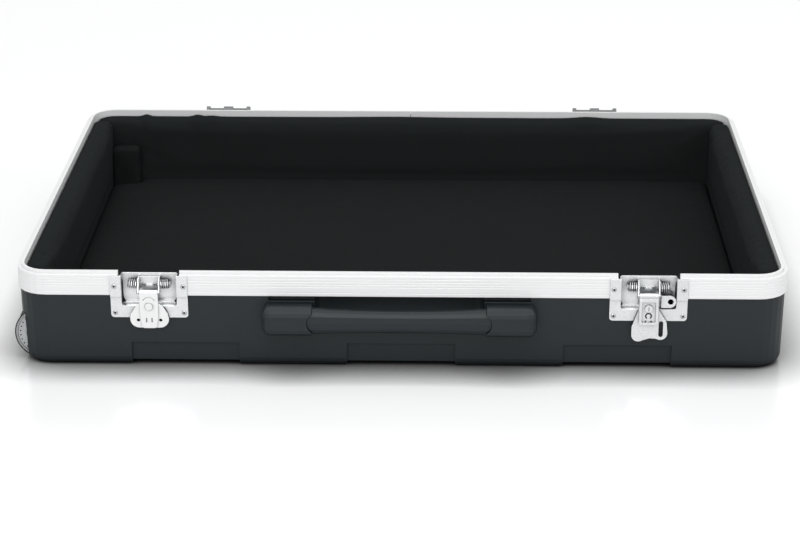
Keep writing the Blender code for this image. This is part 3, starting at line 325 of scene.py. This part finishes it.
wheelFinish = metalFinish("wheelChrome", {
    "colour": (0.36, 0.37, 0.38), "colourTwo": (0.62, 0.63, 0.64), "worn": (0.85, 0.85, 0.85),
    "roughness": (0.10, 0.24), "stretch": (90.0, 90.0, 90.0), "bump": 0.35, "depth": 0.0015,
    "edge": 0.0006, "wear": 0.25, "hollow": 0.014, "cornerShade": 1.6})
pinFinish = metalFinish("pinSteel", {
    "colour": (0.36, 0.37, 0.38), "colourTwo": (0.50, 0.505, 0.51), "worn": (0.70, 0.70, 0.70),
    "roughness": (0.18, 0.34), "stretch": (400.0, 900.0, 900.0), "bump": 0.05, "depth": 0.0001,
    "edge": 0.0003, "wear": 0.5, "hollow": 0.006, "cornerShade": 1.0})
hingeFinish = metalFinish("hingeSteel", {
    "colour": (0.13, 0.135, 0.14), "colourTwo": (0.22, 0.225, 0.23), "worn": (0.36, 0.36, 0.36),
    "roughness": (0.22, 0.38), "stretch": (400.0, 900.0, 900.0), "bump": 0.05, "depth": 0.0001,
    "edge": 0.0004, "wear": 0.2, "hollow": 0.006, "cornerShade": 1.0})
springFinish = metalFinish("springWire", {
    "colour": (0.56, 0.57, 0.58), "colourTwo": (0.72, 0.725, 0.73), "worn": (0.95, 0.95, 0.95),
    "roughness": (0.12, 0.24), "stretch": (700.0, 700.0, 700.0), "bump": 0.03, "depth": 0.0001,
    "edge": 0.0002, "wear": 0.5, "hollow": 0.004, "cornerShade": 2.2})
rivetFinish = metalFinish("rivetSteel", {
    "colour": (0.52, 0.525, 0.53), "colourTwo": (0.62, 0.625, 0.63), "worn": (0.85, 0.85, 0.85),
    "roughness": (0.16, 0.28), "stretch": (600.0, 600.0, 600.0), "bump": 0.03, "depth": 0.0001,
    "edge": 0.0002, "wear": 0.3, "hollow": 0.003, "cornerShade": 1.8})
clothWeave = {"rough": 0.92, "specular": 0.04, "sheen": 0.01, "sheenRoughness": 0.45,
              "sheenTint": (0.80, 0.90, 0.95), "pitch": 4200.0, "bump": 0.5, "depth": 0.0004}
# one black cloth in two copies: the wall copy is painted lighter than the floor copy, painted light that evens out
# how the lamps fall on walls and floor
wallClothPaintedLighter = wovenCloth("wallClothPaintedLighter", {**clothWeave, "colour": (0.0150, 0.0174, 0.0178),
                                     "colourTwo": (0.0192, 0.0218, 0.0222), "lint": (0.033, 0.036, 0.037)})
floorClothPaintedDarker = wovenCloth("floorClothPaintedDarker", {**clothWeave, "colour": (0.0118, 0.0134, 0.0137),
                                       "colourTwo": (0.0152, 0.0170, 0.0173), "lint": (0.028, 0.031, 0.032)})

finishByPrefix = [
    ("shell", shellFinish), ("rim_", rimFinish), ("handle_cap", handleFinish), ("handle_grip", handleFinish),
    ("handle_core", pinFinish), ("handle_backing", plateFinish), ("wheel_tyre", tyreFinish),
    ("wheel_hub", hubFinish), ("wheel_plate", wheelFinish), ("wheel_axle", pinFinish),
    ("hinge_leaf", hingeFinish), ("hinge_pin", hingeFinish)]
finishByWord = [("_spring", springFinish), ("_stud", pinFinish), ("_hinge_pin", pinFinish),
                ("_rivet", satinFinish), ("_lock", plateFinish), ("left_arm", satinFinish),
                ("left_wing", satinFinish)]


def dressNode(name, piece):
    chosen = plateFinish
    for prefix, finish in finishByPrefix:
        if name.startswith(prefix):
            chosen = finish
    if name.startswith(("left_", "right_")):
        for word, finish in finishByWord:
            if word in name:
                chosen = finish
    for slot in piece.material_slots:
        slot.material = chosen


for name, piece in nodes.items():
    dressNode(name, piece)
report("materials")


# Surfaces worked out with numpy

def quadsOf(points, closeRows=False, closeColumns=False):
    # faces of a grid of points, rows running along u and columns along v
    rows, columns = points.shape[:2]
    u, v = np.meshgrid(np.arange(rows if closeRows else rows - 1),
                       np.arange(columns if closeColumns else columns - 1), indexing="ij")
    a, b = u * columns + v, u * columns + (v + 1) % columns
    c, d = (u + 1) % rows * columns + (v + 1) % columns, (u + 1) % rows * columns + v
    return points.reshape(-1, 3), np.stack([a, b, c, d], -1).reshape(-1, 4)


def turnedShape(profile, centre, axis, steps):
    # profile (radius, along) turned about the axis: centre + along * axis + radius * (cos t, sin t) in its plane
    along = Vector(axis).normalized()
    across = along.orthogonal().normalized()
    third = along.cross(across)
    t = np.linspace(0, 2 * math.pi, steps, endpoint=False)
    ring = np.cos(t)[:, None] * np.array(across) + np.sin(t)[:, None] * np.array(third)
    radius, height = np.array(profile, float).T
    points = (np.array(centre) + height[:, None, None] * np.array(along)
              + radius[:, None, None] * ring[None])
    return quadsOf(points, closeColumns=True)


def carriedShape(section, path, acrosses, ups, closed=False):
    # section (a, b) carried along a path: path + a * across + b * up at every point, with flat ends
    a, b = np.array(section, float).T
    points = (path[:, None] + a[None, :, None] * acrosses[:, None] + b[None, :, None] * ups[:, None])
    if not closed:
        points = np.concatenate([np.repeat(points[:1].mean(1, keepdims=True), len(a), 1), points,
                                 np.repeat(points[-1:].mean(1, keepdims=True), len(a), 1)])
    return quadsOf(points, closeRows=closed, closeColumns=True)


def madePiece(name, shapes, material, body, sharp=35):
    # one mesh from several shapes: poles merged, faces turned outwards, edges past the sharp angle kept crisp
    points, faces, count = [], [], 0
    for shapePoints, shapeFaces in shapes:
        points.append(shapePoints)
        faces.append(shapeFaces + count)
        count += len(shapePoints)
    mesh = bpy.data.meshes.new(name)
    mesh.from_pydata(np.concatenate(points).tolist(), [], np.concatenate(faces).tolist())
    work = bmesh.new()
    work.from_mesh(mesh)
    bmesh.ops.remove_doubles(work, verts=work.verts, dist=1e-7)
    bmesh.ops.recalc_face_normals(work, faces=work.faces)
    work.to_mesh(mesh)
    work.free()
    mesh.materials.append(material)
    mesh.shade_smooth()
    mesh.set_sharp_from_angle(angle=math.radians(sharp))
    piece = bpy.data.objects.new(name, mesh)
    bpy.context.scene.collection.objects.link(piece)
    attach(piece, body)
    return piece


# Foam lining under cloth: each packed pad remeshed, swollen by cloth pressure, then creased

liningSettings = {
    "frontWallLining": {"node": "wall_pad_front", "axis": 1, "sign": 1, "voxel": 4.0, "cap": 1.6, "seed": 11},
    "backWallLining": {"node": "wall_pad_back", "axis": 1, "sign": -1, "voxel": 4.5, "cap": 1.8, "seed": 12},
    "leftWallLining": {"node": "wall_pad_left", "axis": 0, "sign": 1, "voxel": 4.5, "cap": 1.8, "seed": 13},
    "rightWallLining": {"node": "wall_pad_right", "axis": 0, "sign": -1, "voxel": 4.5, "cap": 1.8, "seed": 14},
    "floorLining": {"node": "floor_pad", "axis": 2, "sign": 1, "voxel": 7.5, "cap": 1.0, "seed": 15},
    "frontWheelLining": {"node": "wheel_pad_front", "axis": 0, "sign": 1, "voxel": 2.6, "cap": 0.6, "seed": 16},
    "rearWheelLining": {"node": "wheel_pad_rear", "axis": 0, "sign": 1, "voxel": 2.6, "cap": 0.6, "seed": 17}}
swellSettings = {"frames": 20, "pressure": 4.0, "heldDepth": 6.0, "freeDepth": 14.0, "floorTop": 28.0,
                 "junction": 14.0, "fill": 0.55}
creaseSettings = {"broad": 0.45, "broadWave": (60.0, 60.0, 110.0), "fine": 1.5, "fineWave": (16.0, 16.0, 42.0),
                  "fineTop": 0.2, "cornerReach": (10.0, 130.0), "topBand": (22.0, 4.0), "topShare": 0.35,
                  "floorShare": 0.7}
lumpSettings = [(-0.349, 4.5, 3.4), (-0.281, 6.0, 3.0), (-0.262, 9.0, 1.4), (-0.02, 60.0, 0.9),
                (0.236, 20.0, 2.0)]   # place along x in metres, width and rise in millimetres


def ripples(points, seed, waves, count=12):
    # mean of seeded sine waves, one wavelength for each axis
    draw = np.random.default_rng(seed)
    turns = draw.normal(size=(count, 3))
    turns = turns / np.linalg.norm(turns, axis=1, keepdims=True) * 2 * math.pi / (np.array(waves) * mm)
    return np.sin(points @ turns.T + draw.uniform(0, 2 * math.pi, count)).mean(1) * 2.2


def ramp(value, low, high):
    t = np.clip((value - low) / (high - low), 0, 1)
    return t * t * (3 - 2 * t)


def pointsOf(mesh, key="co"):
    found = np.zeros(len(mesh.vertices) * 3)
    if key == "co":
        mesh.vertices.foreach_get("co", found)
    else:
        mesh.vertex_normals.foreach_get("vector", found)
    return found.reshape(-1, 3)


def evaluatedMesh(piece):
    graph = bpy.context.evaluated_depsgraph_get()
    return bpy.data.meshes.new_from_object(piece.evaluated_get(graph))


def freedomOf(points, normals, settings):
    # 0 where the pad lies on the shell, the floor pad or another pad, 1 where only cloth shows
    low, high = (np.array(corner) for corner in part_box(settings["node"]))
    axis, sign = settings["axis"], settings["sign"]
    depth = points[:, axis] - low[axis] if sign > 0 else high[axis] - points[:, axis]
    if axis == 2:
        free = ramp(depth, high[2] - low[2] - 4 * mm, high[2] - low[2] - 1 * mm)
        edge = np.minimum(np.minimum(points[:, 0] - low[0], high[0] - points[:, 0]),
                          np.minimum(points[:, 1] - low[1], high[1] - points[:, 1]))
        return free * ramp(edge, 2 * mm, 20 * mm)
    if "wheel" in settings["node"]:
        return ramp(depth, 4 * mm, 9 * mm) * ramp(points[:, 2], (swellSettings["floorTop"] + 3) * mm,
                                                  (swellSettings["floorTop"] + 9) * mm)
    free = ramp(depth, swellSettings["heldDepth"] * mm, swellSettings["freeDepth"] * mm)
    free = free * ramp(points[:, 2], (swellSettings["floorTop"] + 3) * mm, (swellSettings["floorTop"] + 12) * mm)
    other = 1 - axis
    reach = min(abs(low[other]), abs(high[other])) if axis == 0 else abs(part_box("wall_pad_left")[1].x)
    middle = (low[other] + high[other]) / 2
    near = reach - np.abs(points[:, other] - middle * (axis == 0))
    joint = ramp(near, 2 * mm, swellSettings["junction"] * mm)
    return free * np.maximum(joint, ramp(normals[:, 2], 0.5, 0.9))


def preparePad(name, settings):
    mesh = nodes[settings["node"]].data.copy()
    mesh.name = name
    mesh.materials.clear()
    work = bmesh.new()
    work.from_mesh(mesh)
    bmesh.ops.remove_doubles(work, verts=work.verts, dist=1e-5)
    work.to_mesh(mesh)
    work.free()
    pad = bpy.data.objects.new(name, mesh)
    bpy.context.scene.collection.objects.link(pad)
    voxels = pad.modifiers.new("voxels", "REMESH")
    voxels.mode = "VOXEL"
    voxels.voxel_size = settings["voxel"] * mm
    soften = pad.modifiers.new("soften", "SMOOTH")
    soften.factor = 0.5
    soften.iterations = 3
    pad.data = evaluatedMesh(pad)
    pad.data.name = name
    pad.modifiers.clear()
    points, normals = pointsOf(pad.data), pointsOf(pad.data, key="normal")
    held = pad.vertex_groups.new(name="held")
    weights = 1 - freedomOf(points, normals, settings)
    for level in np.unique(np.round(weights, 1)):
        chosen = np.nonzero(np.round(weights, 1) == level)[0].tolist()
        held.add(chosen, float(level), "REPLACE")
    return pad, points


def addPressure(pad):
    cloth = pad.modifiers.new("swell", "CLOTH")
    cloth.settings.quality = 4
    cloth.settings.use_pressure = True
    cloth.settings.uniform_pressure_force = swellSettings["pressure"]
    cloth.settings.vertex_group_mass = "held"
    cloth.settings.effector_weights.gravity = 0
    cloth.collision_settings.use_collision = False
    cloth.point_cache.frame_start = 1
    cloth.point_cache.frame_end = swellSettings["frames"]


def creasePad(points, normals, settings):
    # broad ripples everywhere, finer ones towards the corners, and the lumps along the back edge
    low, high = (np.array(corner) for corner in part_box(settings["node"]))
    free = freedomOf(points, normals, settings)
    broad = ripples(points, settings["seed"], creaseSettings["broadWave"]) * creaseSettings["broad"]
    fine = ripples(points, settings["seed"] + 40, creaseSettings["fineWave"]) * creaseSettings["fine"]
    other = 1 - settings["axis"] if settings["axis"] < 2 else 0
    ends = np.minimum(points[:, other] - low[other], high[other] - points[:, other])
    near, far = creaseSettings["cornerReach"]
    corner = 1 - ramp(ends, near * mm, far * mm)
    start, end = creaseSettings["topBand"]
    top = ramp(points[:, 2], high[2] - start * mm, high[2] - end * mm) if settings["axis"] < 2 else 0
    strength = np.maximum(corner, creaseSettings["topShare"] * top)
    shift = (broad + np.minimum(fine, creaseSettings["fineTop"]) * strength) * free
    if settings["node"] == "wall_pad_back":
        for x, width, rise in lumpSettings:
            lump = rise * np.exp(-((points[:, 0] - x) / (width * mm)) ** 2)
            shift = shift + lump * ramp(normals[:, 2], 0.1, 0.8)
    if settings["axis"] == 2:
        shift = shift * creaseSettings["floorShare"]
    return points + normals * (shift * mm)[:, None]


def finishPad(name, pad, rest, settings):
    swollen = evaluatedMesh(pad) if pad.modifiers else pad.data
    moved = pointsOf(swollen)
    pad.modifiers.clear()
    pad.vertex_groups.clear()
    normals = pointsOf(pad.data, key="normal")
    free = freedomOf(rest, normals, settings)
    shift = moved - rest
    size = np.linalg.norm(shift, axis=1)
    cap = settings["cap"] * mm
    shift = shift * (np.minimum(size, cap) / np.maximum(size, 1e-9) * free)[:, None]
    pad.data.vertices.foreach_set("co", creasePad(rest + shift, normals, settings).ravel())
    pad.data.update()
    # walls get the lighter copy of the cloth and the floor the darker one: painted light
    pad.data.materials.append(wallClothPaintedLighter if settings["node"].startswith("wall") else floorClothPaintedDarker)
    pad.data.shade_smooth()
    finer = pad.modifiers.new("finer", "SUBSURF")
    finer.levels = 1
    finer.render_levels = 1
    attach(pad, "case")
    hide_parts(settings["node"])


def buildLining():
    made = {name: preparePad(name, settings) for name, settings in liningSettings.items()}
    report("pads remeshed")
    for pad, _ in made.values():
        addPressure(pad)
    for frameNumber in range(1, swellSettings["frames"] + 1):
        bpy.context.scene.frame_set(frameNumber)
    report("pads swollen")
    for name, (pad, points) in made.items():
        finishPad(name, pad, points, liningSettings[name])
    bpy.context.scene.frame_set(1)


buildLining()
report("lining")


# Rivets on the latch flanges, the spring brackets, the hinge leaves and the rim's splice

rivetSettings = {
    "lip": 1.25, "dimple": 0.8, "dotRise": 0.05, "dotDepth": 0.2,
    "flange": {"rise": 0.85, "head": 2.8, "hole": 1.2, "holeDepth": 0.7, "sink": 0.15, "steps": 32},
    "web": {"rise": 0.9, "head": 2.5, "hole": 1.0, "holeDepth": 0.7, "sink": 0.15, "steps": 32},
    "leaf": {"rise": 0.8, "head": 3.0, "hole": 1.1, "holeDepth": 0.5, "sink": 0.15, "steps": 32},
    "flangePlaces": [(38.0, 95.6), (38.0, 64.0)], "webPlaces": [(5.9, 94.4)], "lowFlange": -292.95,
    "webFace": -285.25, "leafPlaces": [(9.5, 94.9), (22.0, 94.9)], "leafFace": 305.55,
    "splicePlaces": [(17.0, 101.2), (17.0, 91.9)], "spliceFace": 305.25}


def middleOf(name):
    low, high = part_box(name)
    return (low + high) / 2


def rivetHead(centre, axis, look):
    # domed head with a dimple: dimple floor, its wall, the lip, a quarter round and the foot
    head, rise, hole, deep, sink = (look[k] for k in ("head", "rise", "hole", "holeDepth", "sink"))
    turn = np.linspace(0, math.pi / 2, 7)
    lip = hole * rivetSettings["lip"]
    floor = rise - deep
    profile = [(0, floor), (hole * rivetSettings["dimple"], floor), (hole, rise - 0.1 * deep), (lip, rise)]
    profile += [(lip + (head - lip) * math.sin(t), -sink + (rise + sink) * math.cos(t)) for t in turn[1:]]
    profile += [(0, -sink)]
    return turnedShape(np.array(profile) * mm, centre, axis, look["steps"])


def rivetSet(name, kind, middle, face, places, axis, material):
    look = rivetSettings[kind]
    wide = look["hole"] * rivetSettings["dimple"]
    top = look["rise"] - look["holeDepth"] + rivetSettings["dotRise"]
    foot = top - rivetSettings["dotDepth"]
    dot = np.array([(0, top), (wide, top), (wide, foot), (0, foot)]) * mm
    spots = [(middle + sign * reach * mm, face, height * mm) for reach, height in places for sign in (-1, 1)]
    madePiece(name, [rivetHead(spot, axis, look) for spot in spots], material, "case")
    # dark disc on the floor of each rivet's dimple: painted shade in the hollow
    madePiece(f"{name}DimpleShade", [turnedShape(dot, spot, axis, 20) for spot in spots], darkFinish, "case")


for side in ("left", "right"):
    middle, upperFace = middleOf(f"{side}_dish").x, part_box(f"{side}_dish")[0].y
    upper, lower = rivetSettings["flangePlaces"]
    towards = (0, -1, 0)
    rivetSet(f"{side}UpperRivets", "flange", middle, upperFace, [upper], towards, rivetFinish)
    rivetSet(f"{side}LowerRivets", "flange", middle, rivetSettings["lowFlange"] * mm, [lower], towards, rivetFinish)
    rivetSet(f"{side}WebRivets", "web", middle, rivetSettings["webFace"] * mm, rivetSettings["webPlaces"], towards,
             pinFinish)
    rivetSet(f"{side}LeafRivets", "leaf", middleOf(f"hinge_leaf_{side}").x, rivetSettings["leafFace"] * mm,
             rivetSettings["leafPlaces"], (0, 1, 0), pinFinish)
rivetSet("spliceRivets", "leaf", middleOf("rim_splice").x, rivetSettings["spliceFace"] * mm,
         rivetSettings["splicePlaces"], (0, 1, 0), pinFinish)
report("rivets")


# Raised and dark marks on the two arms; the dark C on the right arm is painted shade standing for an arc slot

armSettings = {
    "face": -297.85, "ringRadius": 5.0, "ringTube": 0.45, "arcHeight": 77.4, "arcRadius": 6.8, "arcTube": 0.42,
    "arcTurns": (22, 158), "tick": 1.5, "slotShadeHeight": 66.0, "slotShadeRadius": 3.1, "slotShadeTube": 0.75,
    "slotShadeTurns": (-55, 235), "screwHeight": 59.9, "screwPlaces": (-3.0, 3.0), "screw": 0.95, "sink": 0.1}


def bead(radius, tube, centre, turns, steps, sink):
    # half round carried along an arc: centre + radius * (cos t, sin t) in XZ, the section a half ellipse
    t = np.radians(np.linspace(*turns, steps))
    ring = np.stack([np.cos(t), 0 * t, np.sin(t)], -1)
    path = np.array(centre) + radius * mm * ring
    half = np.linspace(0, math.pi, 9)
    section = np.stack([tube * mm * np.cos(half), (tube * np.sin(half) - sink) * mm], -1)
    section = np.concatenate([section, [[-tube * mm, -(sink + 0.1) * mm], [tube * mm, -(sink + 0.1) * mm]]])
    ups = np.broadcast_to(np.array((0.0, -1.0, 0.0)), path.shape)
    return carriedShape(section, path, ring, ups, closed=turns[1] - turns[0] > 350)


def armMarks(settings):
    face, sink = settings["face"] * mm, settings["sink"]
    x, z = middleOf("left_rivet").x, middleOf("left_rivet").z
    ring = bead(settings["ringRadius"], settings["ringTube"], (x, face, z), (0, 352.5), 48, sink)
    arcCentre = (x, face, settings["arcHeight"] * mm)
    arc = bead(settings["arcRadius"], settings["arcTube"], arcCentre, settings["arcTurns"], 30, sink)
    madePiece("leftArmBoss", [ring], satinFinish, "left_arm")
    madePiece("leftArmArc", [arc], pinFinish, "left_arm")
    x = middleOf("right_arm").x
    centre = (x, face, settings["slotShadeHeight"] * mm)
    # dark C on the right arm: painted shade where the arm has an arc slot
    clip = bead(settings["slotShadeRadius"], settings["slotShadeTube"], centre, settings["slotShadeTurns"], 30, sink)
    madePiece("rightArmSlotShade", [clip], darkFinish, "right_arm")
    dome = [(0, 0.45), (0.5, 0.4), (0.8, 0.25), (settings["screw"], 0), (settings["screw"], -sink), (0, -sink)]
    screws = [turnedShape(np.array(dome) * mm, (x + place * mm, face, settings["screwHeight"] * mm), (0, -1, 0), 20)
              for place in settings["screwPlaces"]]
    madePiece("rightArmScrews", screws, darkFinish, "right_arm")


armMarks(armSettings)
report("arm marks")


# Wheel plates: a ring of dark studs, a dished ring, a centre cap and a dark lip on each outer face; the lip's dark
# is painted shade of the plate's rolled edge

wheelSettings = {"studCircle": 24.0, "studs": 29, "stud": 0.85, "studRise": 0.35, "ringRadius": 27.4,
                 "ringTube": 0.9, "innerRadius": 17.5, "innerTube": 0.7, "cap": 8.0, "capRise": 2.2, "sink": 0.1,
                 "plateHeight": 31.7, "edgeRadius": 29.7, "edgeTube": 0.6}


def wheelTrim(end, sign, settings):
    low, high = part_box(f"wheel_plate_{end}_outer")
    face = low.y if sign < 0 else high.y
    x, z = (low.x + high.x) / 2, settings["plateHeight"] * mm
    out = np.array((0.0, float(sign), 0.0))

    def hoop(radius, tube, steps):
        # ring about the wheel's axis with a half round section
        half = np.linspace(0, math.pi, 9)
        profile = [(radius + tube * math.cos(a), tube * math.sin(a)) for a in half]
        profile = [(radius + tube, -settings["sink"])] + profile + [(radius - tube, -settings["sink"])]
        profile.append(profile[0])
        return turnedShape(np.array(profile) * mm, (x, face, z), out, steps)

    stud = [(0, settings["studRise"]), (settings["stud"] * 0.7, settings["studRise"] * 0.8),
            (settings["stud"], 0), (settings["stud"], -settings["sink"]), (0, -settings["sink"])]
    turns = np.radians(np.arange(settings["studs"]) * 360 / settings["studs"])
    studs = [turnedShape(np.array(stud) * mm, (x + settings["studCircle"] * mm * math.cos(t), face,
                                               z + settings["studCircle"] * mm * math.sin(t)), out, 10)
             for t in turns]
    madePiece(f"{end}WheelStuds", studs, darkFinish, "case")
    madePiece(f"{end}WheelHoops", [hoop(settings["ringRadius"], settings["ringTube"], 72),
                                   hoop(settings["innerRadius"], settings["innerTube"], 60)], wheelFinish, "case")
    # dark rubber ring round the plate's edge: painted shade of the rolled edge
    madePiece(f"{end}WheelEdgeShade", [hoop(settings["edgeRadius"], settings["edgeTube"], 80)], tyreFinish, "case")
    t = np.linspace(0, math.pi / 2, 9)
    cap = [(settings["cap"] * math.sin(a), settings["capRise"] * math.cos(a)) for a in t]
    cap += [(settings["cap"], -settings["sink"]), (0, -settings["sink"])]
    madePiece(f"{end}WheelCap", [turnedShape(np.array(cap) * mm, (x, face, z), out, 40)], wheelFinish, "case")


wheelTrim("front", -1, wheelSettings)
wheelTrim("rear", 1, wheelSettings)
report("wheel trim")


# Stage: floor, world and lamps

stageSettings = {"floorHalf": 6.0, "floorHeight": -0.0003, "floorColour": (0.86, 0.865, 0.87), "floorGlow": 0.27,
                 "worldStrength": 0.52, "paintedShadowColour": (0.02, 0.02, 0.02),
                 "paintedShadowReach": 0.060, "paintedShadowPower": 2.0}
lampSettings = [
    {"name": "topLamp", "spot": (0.1, 0.3, 2.6), "aim": (0, 0.05, 0), "size": 3.0, "power": 12},
    {"name": "frontLamp", "spot": (-0.4, -2.7, 2.0), "aim": (0, 0, 0.05), "size": 2.0, "power": 36},
    {"name": "rightLamp", "spot": (2.2, -1.0, 1.4), "aim": (0, 0, 0.05), "size": 1.4, "power": 8}]


def buildStage(settings):
    half = settings["floorHalf"]
    mesh = bpy.data.meshes.new("paleFloor")
    corners = [(-half, -half), (half, -half), (half, half), (-half, half)]
    mesh.from_pydata([(x, y, settings["floorHeight"]) for x, y in corners], [], [(0, 1, 2, 3)])
    floor = bpy.data.objects.new("paleFloor", mesh)
    bpy.context.scene.collection.objects.link(floor)
    made, tree, shader, position = startMaterial("floorPaint", {
        "Base Color": (*settings["floorColour"], 1), "Roughness": 0.22, "Specular IOR Level": 0.5,
        "Emission Color": (1, 1, 1, 1)})
    seen = node(tree, "ShaderNodeLightPath").outputs["Is Camera Ray"]
    # painted shadow: ambient occlusion darkens the floor's paint and glow near the case, a contact shadow painted
    # over the lamps' own shadows
    near = node(tree, "ShaderNodeAmbientOcclusion", [("Distance", settings["paintedShadowReach"])], samples=16)
    outsidePaintedShadow = mathOf(tree, "POWER", near.outputs["AO"], settings["paintedShadowPower"])
    glow = mathOf(tree, "MULTIPLY", mathOf(tree, "MULTIPLY", seen, settings["floorGlow"]), outsidePaintedShadow)
    tree.links.new(glow, shader.inputs["Emission Strength"])
    paint = blendColour(tree, outsidePaintedShadow, (*settings["paintedShadowColour"], 1), (*settings["floorColour"], 1))
    tree.links.new(paint, shader.inputs["Base Color"])
    mesh.materials.append(made)
    world = bpy.data.worlds.new("studio")
    world.use_nodes = True
    bpy.context.scene.world = world
    tree = world.node_tree
    rays = node(tree, "ShaderNodeLightPath")
    white = mathOf(tree, "ADD", mathOf(tree, "ADD", rays.outputs["Is Camera Ray"], rays.outputs["Is Glossy Ray"]),
                   rays.outputs["Is Transmission Ray"], clamp=True)
    strength = node(tree, "ShaderNodeMapRange", [("Value", white), ("To Min", settings["worldStrength"]),
                                                 ("To Max", 1.0)]).outputs[0]
    back = tree.nodes["Background"]
    back.inputs["Color"].default_value = (1, 1, 1, 1)
    tree.links.new(strength, back.inputs["Strength"])


def buildLamp(settings):
    lamp = bpy.data.lights.new(settings["name"], "AREA")
    lamp.size = settings["size"]
    lamp.energy = settings["power"]
    made = bpy.data.objects.new(settings["name"], lamp)
    made.location = settings["spot"]
    made.rotation_euler = (Vector(settings["aim"]) - Vector(settings["spot"])).to_track_quat("-Z", "Y").to_euler()
    bpy.context.scene.collection.objects.link(made)


buildStage(stageSettings)
for lamp in lampSettings:
    buildLamp(lamp)
bpy.context.scene.view_settings.view_transform = "Standard"
report("stage")
